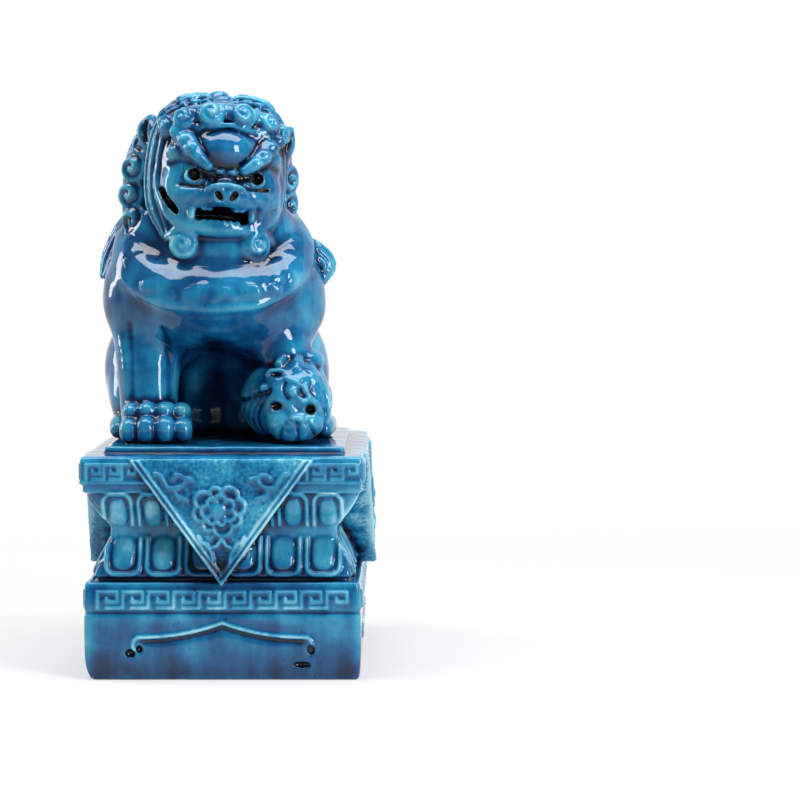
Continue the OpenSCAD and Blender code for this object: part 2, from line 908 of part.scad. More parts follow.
// Beard: curled tufts under the jaw's corners
module beard_form() {
    for (end = [-1, 1]) roll([[end * 16, -25, -22, 5], [end * 16, -28, -27, 6]], 12);
}
module beard_tufts() {
    color(glaze_thin) difference() {
        posed() difference() {
            beard_form();
            head_form();
            jaw_form();
            for (end = [-1, 1]) mane_form(end);
        }
        torso_form();
        ring_form();
    }
}

// Leaf-shaped tufts of fur laid over the shoulders
module shoulder_tufts() {
    color(glaze_thin) difference() {
        seated() {
            roll([[-37, 2, 100, 4], [-44, 0, 90, 5.5], [-48, -2, 78, 4]], 10);
            roll([[40, 4, 86, 5], [47, 4, 78, 5], [50, 4, 70, 3.5]], 10);
        }
        torso_form();
        ring_form();
        right_foreleg_form();
        left_foreleg_form();
        posed() for (end = [-1, 1]) mane_form(end);
        nape_form();
    }
}

plinth_foot();
foot_fret();
plinth_waist();
lower_lotus_petals();
upper_lotus_petals();
plinth_cornice();
cornice_fret();
seat_mat();
apron(0);  // front_apron
apron(1);  // left_apron
apron(2);  // rear_apron
apron(3);  // right_apron
apron_hems();
peony_sprigs();
cloud_scroll_sprigs();
leaf_stem_sprigs();
torso();
right_foreleg();
right_forepaw();
left_foreleg();
left_forepaw();
cub_body();
cub_head();
cub_features();
right_haunch();
left_haunch();
right_hind_paw();
left_hind_paw();
tail();
head();
lower_jaw();
tongue_and_lower_teeth();
upper_teeth();
nose();
forehead_boss();
right_brow();
left_brow();
eyeballs();
right_ear();
left_ear();
forelock_curls();
crown_curls();
right_mane();
left_mane();
nape_mane();
beard_tufts();
neck_ring();
chest_collar();
collar_studs();
shoulder_tufts();
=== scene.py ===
# Seated guardian lion on a lotus plinth, hollow earthenware under one glossy blue glaze.
# Each piece is modelled as clay on a lattice in millimetres, luted to its neighbours and then cast as a mesh.
from collections import namedtuple
import bpy
import numpy as np
import openvdb
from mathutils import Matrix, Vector


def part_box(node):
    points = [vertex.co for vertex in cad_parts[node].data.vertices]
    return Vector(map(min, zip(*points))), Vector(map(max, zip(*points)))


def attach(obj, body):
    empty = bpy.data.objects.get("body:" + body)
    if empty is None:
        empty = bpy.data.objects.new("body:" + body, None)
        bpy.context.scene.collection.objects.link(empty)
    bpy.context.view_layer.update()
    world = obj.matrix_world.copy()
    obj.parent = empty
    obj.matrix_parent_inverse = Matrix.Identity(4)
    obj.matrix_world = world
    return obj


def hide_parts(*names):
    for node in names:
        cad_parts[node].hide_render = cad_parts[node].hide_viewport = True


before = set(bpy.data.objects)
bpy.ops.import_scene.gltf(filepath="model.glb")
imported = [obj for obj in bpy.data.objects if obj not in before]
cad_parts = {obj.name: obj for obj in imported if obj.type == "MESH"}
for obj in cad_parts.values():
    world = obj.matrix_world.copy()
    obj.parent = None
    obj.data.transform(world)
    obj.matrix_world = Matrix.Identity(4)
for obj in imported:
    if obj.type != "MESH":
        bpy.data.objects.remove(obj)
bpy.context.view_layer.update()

# Plinth foot.
# The block that the statue stands on, press-moulded earthenware with bellied walls, open beneath.
# A bracket-shaped panel is drawn into each face with a modelling tool before the glaze goes on.
mm_per_m = 1000.0
grain = 0.6
far = 9.0
margin = 6.0
lap = 0.8
dive = 0.5


def knead(a, b, soft):
    """Two distances joined with a soft fillet."""
    if soft <= 0:
        return np.minimum(a, b)
    near = np.maximum(soft - np.abs(a - b), 0) / soft
    return np.minimum(a, b) - near * near * soft / 4


def melt(a, b, soft):
    """Two distances cut against each other with a soft edge."""
    return -knead(-a, -b, soft)


def bell(offset, width):
    """1 in the middle, dying away smoothly over a width to either side."""
    return np.exp(-(offset / width) ** 2)


def softened(field, reach, passes=2):
    """The field averaged over a small box along each axis."""
    count = round(reach / grain)
    if not count:
        return field
    width = 2 * count + 1
    for axis in (0, 1, 2) * passes:
        pads = [(0, 0)] * 3
        pads[axis] = (count + 1, count)
        total = np.cumsum(np.pad(field, pads, mode="edge"), axis, dtype=np.float32)
        total = np.moveaxis(total, axis, 0)
        field = np.moveaxis((total[width:] - total[:-width]) / width, 0, axis)
    return field


def uneven(points, length):
    """The gentle waves of clay worked by hand, from about -1 to 1."""
    total = 0
    for stretch, phase in ((1.0, 0.3), (0.73, 1.9), (1.37, 4.1)):
        turns = [axis * stretch * (1 + 0.17 * i) * 2 * np.pi / length for i, axis in enumerate(points)]
        waves = [np.sin(turn + phase * (i + 1)) for i, turn in enumerate(turns)]
        total = total + waves[0] * waves[1] * waves[2]
    return total / 1.6


def within(span, window):
    """Lattice slices counted from the start of a window."""
    return tuple(slice(a.start - b.start, a.stop - b.start) for a, b in zip(span, window))


class Clay:
    """A block of clay on a lattice: each point holds its distance to the surface, below 0 inside."""

    def __init__(self, low, high, origin):
        self.low = np.array(low, np.float32)
        self.origin = np.array(origin, np.float32)
        count = np.ceil((np.array(high) - self.low) / grain).astype(int) + 1
        self.lines = [self.low[i] + grain * np.arange(count[i], dtype=np.float32) for i in range(3)]
        self.all = tuple(slice(0, n) for n in count)
        self.whole = np.full(count, far, np.float32)
        self.nearest = self.whole.copy()
        self.second = self.whole.copy()
        self.owner = np.full(count, 255, np.uint8)
        # Darkening of the colour: burnt glaze in pits, painted shade in deep cuts and hollows, and both in
        # the eyes.
        self.stain_and_shade = np.zeros(count, np.float32)
        self.pieces = {}

    def window(self, low, high):
        """The lattice slices that hold a box."""
        cut = []
        for i in range(3):
            last_line = len(self.lines[i])
            first = int(np.clip((low[i] - self.low[i]) // grain, 0, last_line - 2))
            last = int(np.clip((high[i] - self.low[i]) // grain + 2, first + 1, last_line))
            cut.append(slice(first, last))
        return tuple(cut)

    def points(self, window):
        """The places of a window's lattice points along each axis."""
        x, y, z = (line[cut] for line, cut in zip(self.lines, window))
        return x[:, None, None], y[None, :, None], z[None, None, :]

    def shape(self, forms, soft, room):
        """Forms kneaded together: the window that they fill, with room about it, and the distances in it."""
        low, high = np.min([f.low for f in forms], 0), np.max([f.high for f in forms], 0)
        window = self.window(low - room, high + room)
        field = np.full([cut.stop - cut.start for cut in window], far + room, np.float32)
        for form in forms:
            part = self.window(form.low - room, form.high + room)
            inner = within(part, window)
            field[inner] = knead(field[inner], form.distance(*self.points(part)), soft)
        return window, field

    def add(self, name, forms, soft=1.5, join=1.5):
        """Models a piece from forms and lutes it on."""
        window, field = self.shape(forms, soft, margin + max(soft, join))
        self.lute(name, window, field, join)

    def lute(self, name, window, field, join):
        """Joins a piece to the clay so far with a soft fillet."""
        index = len(self.pieces)
        self.whole[window] = knead(self.whole[window], field, join)
        nearest, second = self.nearest[window], self.second[window]
        first = field < nearest
        second[...] = np.where(first, nearest, np.minimum(second, field))
        self.owner[window][first] = index
        nearest[...] = np.minimum(nearest, field)
        self.pieces[name] = (index, window, field)

    def carve(self, forms, soft=0.8, stain_and_shade=0.0, spread=0.5):
        """Cuts forms out of every piece so far and darkens the colour round the cut: burnt glaze in some
        cuts, painted shade in deep cuts and holes.
        """
        window, cut = self.shape(forms, soft, margin + soft)
        darkened = stain_and_shade * np.exp(-np.maximum(cut, 0) / spread)
        self.stain_and_shade[window] = np.maximum(self.stain_and_shade[window], darkened)
        for field in (self.whole, self.nearest, self.second):
            field[window] = melt(field[window], -cut, soft)
        for _, where, field in self.pieces.values():
            shared = [slice(max(a.start, b.start), min(a.stop, b.stop)) for a, b in zip(window, where)]
            if all(span.start < span.stop for span in shared):
                own = within(shared, where)
                field[own] = melt(field[own], -cut[within(shared, window)], soft)

    def wipe(self, forms):
        """Takes the darkening off forms set into a darkened cut."""
        window, field = self.shape(forms, 0, margin)
        self.stain_and_shade[window] = np.where(field < 0.5, 0, self.stain_and_shade[window])

    def scribe(self, form, width, depth):
        """Draws a groove along a thin form, or raises a ridge where depth is below 0."""
        window = self.window(form.low - 2.5 * width, form.high + 2.5 * width)
        near = np.maximum(form.distance(*self.points(window)), 0)
        self.whole[window] += depth * bell(near, width)

    def settle(self, ground):
        """Lets the glaze run: it rounds every edge, thins on what stands out and pools in what lies back.
        The darkening where it pools, in hollows and by the ground, is partly the glaze's own colour and
        partly painted shade.

        The ground is each point's distance from what the clay stands on.
        """
        self.whole = (self.whole + softened(self.whole, 0.6, 1)) / 2
        body = np.clip(np.minimum(self.whole, ground), -6, 6)
        reaches = ((0.9, 0.42), (2.6, 0.16), (7, 0.05))
        thin_and_shade = sum(weight * (softened(body, reach) - body) for reach, weight in reaches)
        self.thin_and_shade = np.where(thin_and_shade < 0, 1.8, 0.5) * thin_and_shade

    def sample(self, field, points, low):
        """A field's values at points between those of the lattice."""
        place = (points - low) / grain
        base = np.clip(place.astype(int), 0, np.array(field.shape) - 2)
        part = place - base
        total = np.zeros(len(points), np.float32)
        for corner in np.ndindex(2, 2, 2):
            weight = np.prod(np.where(corner, part, 1 - part), axis=1)
            total += weight * field[tuple((base + corner).T)]
        return total

    def on_surface(self, points, solid, low):
        """Points near the surface, each moved on to it."""
        steps = grain / 2 * np.eye(3, dtype=np.float32)
        ahead = np.stack([self.sample(solid, points + step, low) for step in steps], axis=1)
        behind = np.stack([self.sample(solid, points - step, low) for step in steps], axis=1)
        slope = (ahead - behind) / grain
        near = self.sample(solid, points, low)
        near = np.where(np.abs(near) < 0.3 * grain, near, 0) / np.maximum((slope ** 2).sum(axis=1), 0.25)
        return points - near[:, None] * slope

    def cast(self, name):
        """The piece as a closed mesh, with its glaze tone and its darkening, both with painted light and
        shade mixed in.
        """
        index, window, field = self.pieces[name]
        other = np.where(self.owner[window] == index, self.second[window], self.nearest[window])
        beyond = (field - other) / 2
        solid = np.maximum(self.whole[window] + dive * np.maximum(beyond, 0), beyond - lap)
        outside = 3.0
        padded = np.pad(np.clip(solid, -outside, outside), 1, constant_values=outside)
        grid = openvdb.FloatGrid(outside)
        grid.copyFromArray(padded)
        points, quads = grid.convertToQuads(0.0)
        corner = np.array([line[cut.start] for line, cut in zip(self.lines, window)])
        points = self.on_surface((points - 1) * grain + corner, solid, corner)
        mesh = bpy.data.meshes.new(name)
        mesh.vertices.add(len(points))
        mesh.vertices.foreach_set("co", ((points + self.origin) / mm_per_m).astype(np.float32).ravel())
        mesh.loops.add(quads.size)
        mesh.loops.foreach_set("vertex_index", quads.astype(np.int32).ravel())
        mesh.polygons.add(len(quads))
        mesh.polygons.foreach_set("loop_start", np.arange(0, quads.size, 4, dtype=np.int32))
        mesh.polygons.foreach_set("use_smooth", np.ones(len(quads), bool))
        mesh.update(calc_edges=True)
        mesh.validate()
        for title, field in (("thin_and_shade", self.thin_and_shade), ("stain_and_shade", self.stain_and_shade)):
            values = self.sample(field, points, self.low)
            mesh.attributes.new(title, "FLOAT", "POINT").data.foreach_set("value", values.astype(np.float32))
        piece = bpy.data.objects.new(name, mesh)
        bpy.context.scene.collection.objects.link(piece)
        return piece


def node_box(node):
    """A CAD piece's box in millimetres."""
    low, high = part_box(node)
    return np.array(low) * mm_per_m, np.array(high) * mm_per_m


foot_high = node_box("plinth_foot")[1]
waist_low, waist_high = node_box("plinth_waist")
cornice_low, cornice_high = node_box("plinth_cornice")
mat_high = node_box("seat_mat")[1]
half_w, half_d, foot_h = foot_high
room_under, room_over = 4.0, 3.0
plinth_low = (-half_w - margin, -half_d - margin, -room_under)
plinth_high = (half_w + margin, half_d + margin, mat_high[2] + room_over)
plinth = Clay(plinth_low, plinth_high, (0, 0, 0))
across, back, up = plinth.points(plinth.all)
heights = plinth.lines[2]
face_x = np.abs(across) - half_w
face_y = np.abs(back) - half_d
front_or_rear = face_y > face_x


def block(inset, bottom, top, corner=3.0, edge=1.2):
    """A block with one outline on all four sides, as an inset for each height."""
    steep = np.sqrt(1 + np.clip(np.gradient(inset, grain), -2, 2) ** 2)
    sides = melt(face_x + inset, face_y + inset, corner) / steep
    return melt(sides, np.maximum(up - top, bottom - up), edge)


def bend(points, steps=4):
    """A smooth run through the points."""
    p = np.array(points, np.float32)
    p = np.vstack([2 * p[0] - p[1], p, 2 * p[-1] - p[-2]])
    t = np.linspace(0, 1, steps, endpoint=False, dtype=np.float32)[:, None]
    spans = [b + ((c - a) * t + (2 * a - 5 * b + 4 * c - d) * t ** 2 + (3 * b - a - 3 * c + d) * t ** 3) / 2
             for a, b, c, d in zip(p, p[1:], p[2:], p[3:])]
    return np.vstack(spans + [p[-2:-1]])


def half_round(offset, half):
    """The section of a bead, 1 along its middle and 0 from its edge outward."""
    return np.sqrt(np.maximum(1 - (offset / half) ** 2, 0))


def bead(u, v, line, half, rise):
    """A half-round bead of clay along a line drawn on a face."""
    near = far + 0 * u * v
    for (a, b), (c, d) in zip(line, line[1:]):
        length = (c - a) ** 2 + (d - b) ** 2 + 1e-6
        t = np.clip(((u - a) * (c - a) + (v - b) * (d - b)) / length, 0, 1)
        near = np.minimum(near, np.hypot(u - a - t * (c - a), v - b - t * (d - b)))
    return rise * half_round(near, half)


def boss(u, v, at, half, rise, square=2.0):
    """A round or oval boss on a face; square above 2 fills its corners."""
    side, tall = np.abs(u - at[0]) / half[0], np.abs(v - at[1]) / half[1]
    return rise * np.sqrt(np.maximum(1 - side ** square - tall ** square, 0))


def on_faces(draw):
    """Heights drawn on the faces as (across, up), laid over the lattice."""
    ahead = draw(plinth.lines[0][:, None], heights[None, :], half_w)[:, None, :]
    beside = draw(plinth.lines[1][:, None], heights[None, :], half_d)[None, :, :]
    return np.where(front_or_rear, ahead, beside).astype(np.float32)


bracket_half = 36.5
bracket_peak = 24.0
bracket_shoulder = 17.8
pits = (((-39.4, 11.6), (2.2, 1.9)), ((-35.6, 13.4), (1.2, 1.8)),
        ((37.9, 13.2), (1.6, 2.4)), ((34.0, 6.6), (4.0, 1.3)))


def bracket_line(u):
    """The height of the panel's upper edge, which rises to a point in the middle."""
    peak = np.maximum(1 - np.abs(u) / bracket_half, 0) ** 2.2
    return bracket_shoulder + (bracket_peak - bracket_shoulder) * peak


def bracket_edge(u, v):
    """The panel's lip, drawn over its top and turned down at both ends."""
    reach = np.linspace(0, bracket_half, 8)
    line = list(zip(reach, bracket_line(reach)))
    line += [(bracket_half + a, bracket_shoulder - b) for a, b in ((1.4, 1.2), (1.9, 3.4), (1.3, 5.4))]
    return bead(np.abs(u), v - 0.7, line, 1.0, 1.0)


def bracket_panel(u, v, half):
    """The panel is scooped back under its lip, with pits where the tool was lifted."""
    above = v - bracket_line(u)
    inside = np.clip((bracket_half + 0.5 - np.abs(u)) / 3, 0, 1)
    scoop = -1.2 * np.clip(0.5 - above / 0.7, 0, 1) * np.exp(-np.maximum(-above, 0) / 4.5)
    return scoop * inside + 0.8 * bracket_edge(u, v) - 2.2 * burnt_pits(u, v, half)


def burnt_pits(u, v, half):
    """The pits themselves, where the glaze burns."""
    return np.maximum.reduce([boss(u, v, at, size, 1.0) for at, size in pits])


def bracket_shade(u, v, half):
    """Painted highlight over the lip, painted shadow under it and a band of painted shade a little above it.
    """
    above = v - bracket_line(u)
    painted_shade = -0.17 * bell(above + 1.0, 0.9) - 0.10 * bell(above - 4.5, 2.5)
    return 0.24 * bracket_edge(u, v) + painted_shade * np.clip((bracket_half + 0.8 - np.abs(u)) / 5, 0, 1)


foot_belly = 1.2
fret_groove_z, fret_groove = 29.2, 1.0
right_tuck, left_tuck, tuck_h = 3.2, 0.6, 11.0
foot_inset = foot_belly * (2 * np.clip(heights / foot_h, 0, 1) - 1) ** 2
foot_inset += fret_groove * bell(heights - fret_groove_z, 0.8)
tuck = np.where(across < 0, right_tuck, left_tuck) * np.clip(1 - heights / tuck_h, 0, 1) ** 2.2
foot_field = melt(block(foot_inset, 0.0, foot_h, 3.0, 0.8), face_x + 1.0 + tuck, 2.0)
foot_field = foot_field - on_faces(bracket_panel)
out_of_wall = np.maximum(face_x, face_y)
on_wall = out_of_wall > -6
plinth.stain_and_shade = np.maximum(plinth.stain_and_shade, on_faces(burnt_pits) * on_wall)
plinth.lute("plinth_foot", plinth.all, foot_field, 0)


# Foot fret.
# A run of key pattern round the top of the foot, raised in the mould and softened by the glaze.
skin = 0.8
foot_key_z, foot_key_h, foot_key_w = 31.2, 7.0, 10.9


def raised(base, height):
    """A thin skin of clay standing on a face by the height drawn."""
    return np.maximum(base - np.where(height > 0.08, height, -3), -base - skin)


def fret(u, v, first, last, low, tall, key_w):
    """A running key pattern: along the bottom, up, over and back into a hook."""
    count = int((last - first) // key_w)
    start = (first + last - count * key_w) / 2 + key_w * 0.1
    height = 0 * u * v
    for i in range(count):
        x = start + i * key_w
        reach = 0.66 if i else 0.0
        key = [(-reach, 0), (0, 0), (0, 1), (0.78, 1), (0.78, 0.36), (0.36, 0.36), (0.36, 0.62)]
        line = [(x + a * key_w, low + b * tall) for a, b in key]
        height = np.maximum(height, bead(u, v, line, 1.0, 0.95))
    return height


def foot_keys(u, v, half):
    return fret(u, v, -half + 3, half - 3, foot_key_z, foot_key_h, foot_key_w)


plinth.lute("foot_fret", plinth.all, raised(foot_field, on_faces(foot_keys)), 0.4)


# Plinth waist.
# The moulded middle of the plinth: a groove, a swell for each row of petals, a plain band and a bead.
waist_bottom = waist_low[2]
groove_h, petal_h, band_h = 2.0, 15.4, 5.8
lower_inset, waist_inset, upper_inset, bead_inset = 5.0, 11.5, 3.0, 1.0
lower_z = waist_bottom + groove_h
band_z = lower_z + petal_h
upper_z = band_z + band_h
bead_z = upper_z + petal_h


def slope(t):
    """The waist draws in gently from each end and runs straight to the band."""
    t = np.clip(t, 0, 1)
    return t ** 1.5 * (1.5 - 0.5 * t ** 2)


waist_inset_line = np.where(heights < band_z + band_h / 2,
                            lower_inset + (waist_inset - lower_inset) * slope((heights - lower_z) / petal_h),
                            upper_inset + (waist_inset - upper_inset) * slope((bead_z - heights) / petal_h))
waist_inset_line = np.where(heights < lower_z, lower_inset + 1.2, waist_inset_line)
waist_inset_line = np.where(heights > bead_z, bead_inset, waist_inset_line)
waist_field = block(waist_inset_line, waist_bottom - 1, waist_high[2] + 0.5, 3.0, 0.8)
plinth.lute("plinth_waist", plinth.all, waist_field, 0.8)


# Lotus petals.
# Two rows of petals round the waist, each a raised rim about a long oval boss; the upper row points up,
# the lower one down, and all are pressed from one mould with the waist.
def petal_row(u, v, half, count, low, top, point, end):
    """Rims and bosses between a face's plain ends; point is 1 for petals that point up and -1 for down."""
    count = round(count * half / half_w)
    pitch = 2 * (half - end) / count
    reach = pitch / 2 - 1.5
    bow = 3.6
    height = 0 * u * v
    for i in range(count):
        middle = (i - (count - 1) / 2) * pitch
        turn = np.linspace(0, np.pi / 2, 5)
        arch = [(reach - bow + bow * np.cos(a), top - low - bow + bow * np.sin(a)) for a in turn]
        arch = [(reach, 0.0)] + arch + [(-a, b) for a, b in reversed(arch)] + [(-reach, 0.0)]
        arch = [(middle + a, low + b if point > 0 else top - b) for a, b in arch]
        height = np.maximum(height, bead(u, v, arch, 1.2, 1.4))
        oval = (reach - 2.0, (top - low) * 0.47)
        centre = low + (top - low) * (0.42 if point > 0 else 0.58)
        height = np.maximum(height, boss(u, v, (middle, centre), oval, 1.5, 2.7))
    return height


upper_petals = on_faces(lambda u, v, half: petal_row(u, v, half, 7, upper_z + 0.4, bead_z - 0.9, 1, 8))
lower_petals = on_faces(lambda u, v, half: petal_row(u, v, half, 6, lower_z + 1.0, band_z + 0.6, -1, 9))
plinth.lute("upper_lotus_petals", plinth.all, raised(waist_field, upper_petals), 0.4)
plinth.lute("lower_lotus_petals", plinth.all, raised(waist_field, lower_petals), 0.4)


# Plinth cornice.
# The flat top of the plinth, luted on the waist, with a soft upper edge and a fret at its corners.
apron_low, apron_high = node_box("front_apron")
apron_top, apron_end = apron_high[2], apron_low[2]
apron_half = apron_high[0]
corner_key_z, corner_key_h, corner_key_w = cornice_low[2] + 3.0, 6.2, 7.6
cornice_lip = -0.7 * bell(heights - cornice_low[2] - 1.2, 0.9)
cornice_field = block(cornice_lip, cornice_low[2], cornice_high[2], 2.4, 2.2)
plinth.lute("plinth_cornice", plinth.all, cornice_field, 0.7)


def cornice_keys(u, v, half):
    spans = ((-half + 1.5, -apron_half + 4), (apron_half - 4, half - 1.5))
    return np.maximum(*(fret(u, v, *span, corner_key_z, corner_key_h, corner_key_w) for span in spans))


plinth.lute("cornice_fret", plinth.all, raised(cornice_field, 0.8 * on_faces(cornice_keys)), 0.4)


# Seat mat.
# A thin square slab under the lion, pressed on to the cornice.
mat_half_w, mat_half_d = mat_high[0], mat_high[1]
mat_sides = melt(np.abs(across) - mat_half_w, np.abs(back) - mat_half_d, 2.0)
mat_field = melt(mat_sides, np.maximum(up - mat_high[2], cornice_high[2] - 3 - up), 1.4)
plinth.lute("seat_mat", plinth.all, mat_field, 1.2)


# Apron cloths.
# The corner of a square cloth hanging over each face, a flat panel with a raised hem along its two edges.
apron_rise = 1.0
apron_kick = 3.0
apron_drop = apron_top - apron_end
apron_lean = np.hypot(apron_half, apron_drop)
hem_w = 3.2
hem_lips = (0.7, hem_w - 0.4)


def apron_edge(u, v):
    """Distance out of the cloth's slanting edges."""
    return (np.abs(u) * apron_drop - (v - apron_end) * apron_half) / apron_lean


def apex_hollow(u, v):
    """The cloth is pressed back round the leaves."""
    return boss(u, v, (0, apron_end + 13), (6.5, 9.0), 1.0)


def apron_front(out, u):
    """Distance in front of a cloth, which hangs away from its face of the plinth towards its point."""
    lean = apron_kick * np.clip((apron_top - up) / apron_drop, 0, 1)
    return out - apron_rise - lean + 0.9 * apex_hollow(u, up)


def apron_panel(out, u):
    outline = np.maximum(apron_edge(u, up), up - apron_top - 0.6)
    return np.maximum(melt(apron_front(out, u), outline, 1.0), -out - waist_inset - 4)


aprons = {
    "front_apron": (-back - half_d, across, 0), "rear_apron": (back - half_d, across, 0),
    "right_apron": (-across - half_w, back, 1), "left_apron": (across - half_w, back, 1),
}
apron_fields = {name: apron_panel(out, u) for name, (out, u, _) in aprons.items()}
for name, field in apron_fields.items():
    plinth.lute(name, plinth.all, field, 0.6)
    out, u, _ = aprons[name]
    # Painted shade in the hollow at the cloth's point, in the dark burnt colour.
    apex_shade = boss(u, up, (0, apron_end + 8.5), (3.6, 4.6), 0.9) * (np.abs(out) < 6)
    plinth.stain_and_shade = np.maximum(plinth.stain_and_shade, apex_shade)


def on_aprons(draw):
    """One ornament drawn on all four cloths."""
    ahead = draw(plinth.lines[0][:, None], heights[None, :])[:, None, :]
    beside = draw(plinth.lines[1][:, None], heights[None, :])[None, :, :]
    best = np.full_like(plinth.whole, far)
    for name, (out, u, side) in aprons.items():
        relief = raised(apron_fields[name], beside if side else ahead)
        best = np.minimum(best, np.maximum(relief, -apron_front(out, u) - skin))
    return best


def hem(u, v):
    """A flat hem with a thin lip along each edge."""
    inside = -apron_edge(u, v)
    band = 0.2 * np.clip((hem_w - inside) / 0.4, 0, 1) * np.clip(inside / 0.4, 0, 1)
    for lip in hem_lips:
        band = np.maximum(band, 1.1 * half_round(inside - lip, 0.7))
    return np.where(v < apron_top, band, 0)


plinth.lute("apron_hems", plinth.all, on_aprons(hem), 0.3)


# Cloth sprigs.
# A peony, two cloud scrolls and a leafy stem on each cloth, sprigged on as thin press-moulded relief.
peony_z = apron_top - 21.0


def peony(u, v):
    """Two rings of uneven petals, each with a turned edge, round a full heart.

    Each ring has its radius, petal size, count, turn, level and drift.
    """
    side, tall = u + 1.0, v - peony_z
    height = boss(side, tall, (-0.4, -0.2), (4.2, 3.8), 2.3)
    rings = ((7.9, 4.0, 8, 0.2, 0.2, 0.0), (5.0, 2.8, 7, 0.5, 0.8, -0.2))
    for ring, petal, count, turn, level, drift in rings:
        edge = far + 0 * side * tall
        for i in range(count):
            angle = turn + 2 * np.pi * i / count
            wide = petal * (1 + 0.2 * np.sin(2.3 * i + turn))
            across_petal = side - drift - ring * np.cos(angle)
            up_petal = tall - drift - 0.92 * ring * np.sin(angle)
            edge = np.minimum(edge, np.hypot(across_petal, up_petal) - wide)
        edge = np.minimum(edge, np.hypot(side, tall) - ring)
        height = np.maximum(height, np.where(edge < 0, level, 0) + half_round(edge + 0.8, 0.9))
    return height


def mirrored_lines(u, v, lines, half, rise):
    """Beads along lines drawn on the right and mirrored on the left."""
    runs = [[(end * a, b) for a, b in bend(line, 3)] for end in (-1, 1) for line in lines]
    return np.maximum.reduce([bead(u, v, run, half, rise) for run in runs])


def cloud_scrolls(u, v):
    """Scrolls drawn below the cloth's upper edge."""
    scroll = [(28.5, -5.6), (26.4, -6.1), (24.3, -8.7), (22.9, -11.4), (20.3, -11.9), (17.1, -10.8),
              (15.5, -8.7), (16.6, -6.6), (19.2, -6.1), (20.8, -7.7)]
    tip = [(15.6, -8.0), (14.0, -7.7), (12.4, -8.2)]
    tail = [(20.3, -11.9), (18.7, -15.1), (15.0, -16.7)]
    return mirrored_lines(u, v - apron_top, (scroll, tip, tail), 1.05, 1.0)


def leaf_stem(u, v):
    """Leaves drawn above the cloth's point."""
    leaf = [(9.7, 21.0), (8.6, 18.9), (6.5, 17.8), (4.4, 14.6), (3.4, 10.4)]
    fork = [(0.4, 19.9), (1.8, 17.5), (3.4, 16.7)]
    return mirrored_lines(u, v - apron_end, (leaf, fork), 0.95, 1.7)


plinth.lute("peony_sprigs", plinth.all, on_aprons(peony), 0.3)
plinth.lute("cloud_scroll_sprigs", plinth.all, on_aprons(cloud_scrolls), 0.3)
plinth.lute("leaf_stem_sprigs", plinth.all, on_aprons(leaf_stem), 0.3)

# Plinth hollow and glaze colour.
# The plinth is open beneath, a wide mouth in the foot and a narrower hollow up to the cornice. The glaze is
# thin on the ornament and deep in every seam, partly as painted shade; its colour is made darker towards the
# bottom of the foot and band by band, and painted highlight and painted shade are laid along the bracket, the
# frets, the petals and the hems.
wall = 6.0
foot_hollow = np.maximum(out_of_wall + wall + 1.8, up - foot_h)
waist_hollow = np.maximum(out_of_wall + wall + waist_inset, up - cornice_high[2] + wall)
plinth.whole += 0.08 * uneven((across, back, up), 26)
plinth.whole = melt(plinth.whole, -np.minimum(foot_hollow, waist_hollow), 1.0)
plinth.settle(far)
# The colour is made darker towards the bottom of the foot and shifted band by band, at the heights listed.
tone_heights = (0, 14, 28, 34, lower_z, band_z, upper_z, bead_z, apron_top)
tone_darkening = (33, 5, -8, -3, 18, -10, -14, -6, 2)
plinth.thin_and_shade -= 0.01 * np.interp(heights, tone_heights, tone_darkening).astype(np.float32)
# Painted highlight on the bracket's lip and painted shadow under it.
plinth.thin_and_shade += on_faces(bracket_shade) * on_wall


def fret_shade(u, v, half):
    """Painted highlight on the keys and painted shade between them, in both frets."""
    foot_band = (v > foot_key_z - 0.8) & (v < foot_h - 1.6)
    key_middle = corner_key_z + corner_key_h / 2
    corner_band = (np.abs(v - key_middle) < corner_key_h / 2 + 0.8) & (np.abs(u) > apron_half - 3)
    corner_keys = np.where(corner_band, cornice_keys(u, v, half) - 0.4, 0)
    return np.where(foot_band, foot_keys(u, v, half) - 0.4, corner_keys)


in_rows = ((heights > lower_z) & (heights < band_z)) | ((heights > upper_z) & (heights < bead_z))
# Painted highlight and painted shade on both frets.
plinth.thin_and_shade += 0.18 * on_faces(fret_shade) * on_wall
# Painted highlight on the petals' rims and bosses and painted shade in the hollows between them.
plinth.thin_and_shade += 0.13 * (np.maximum(upper_petals, lower_petals) - 0.7) * (in_rows & (out_of_wall < -0.8))
# Painted highlight along the hems' two lips and painted shade in the seam between them.
for out, u, _ in aprons.values():
    inside = -apron_edge(u, up)
    lips = bell(inside - hem_lips[0], 0.6) + bell(inside - hem_lips[1], 0.6)
    seam = bell(inside - hem_w / 2 - 0.15, 0.6)
    plinth.thin_and_shade += (0.24 * lips - 0.34 * seam) * (np.abs(apron_front(out, u)) < 2.5) * (up < apron_top)


# Glaze.
# One glossy blue glaze over all the pieces: nearly black where it pools, turquoise where it runs thin and
# whitish where it breaks over a sharp edge; the colour it is given there also carries painted highlight and
# painted shade. It turns brown-black where it burns in pits, and the same brown-black is painted shade in
# deep cuts and holes.
glaze_colours = ((0.08, (0.001, 0.006, 0.015)), (0.27, (0.002, 0.025, 0.090)), (0.45, (0.004, 0.082, 0.215)),
                 (0.60, (0.010, 0.180, 0.345)), (0.76, (0.044, 0.295, 0.445)), (0.94, (0.300, 0.570, 0.670)))
# Brown-black for burnt glaze and for painted shade in deep cuts.
burnt_and_shade_colour = (0.006, 0.004, 0.003, 1)


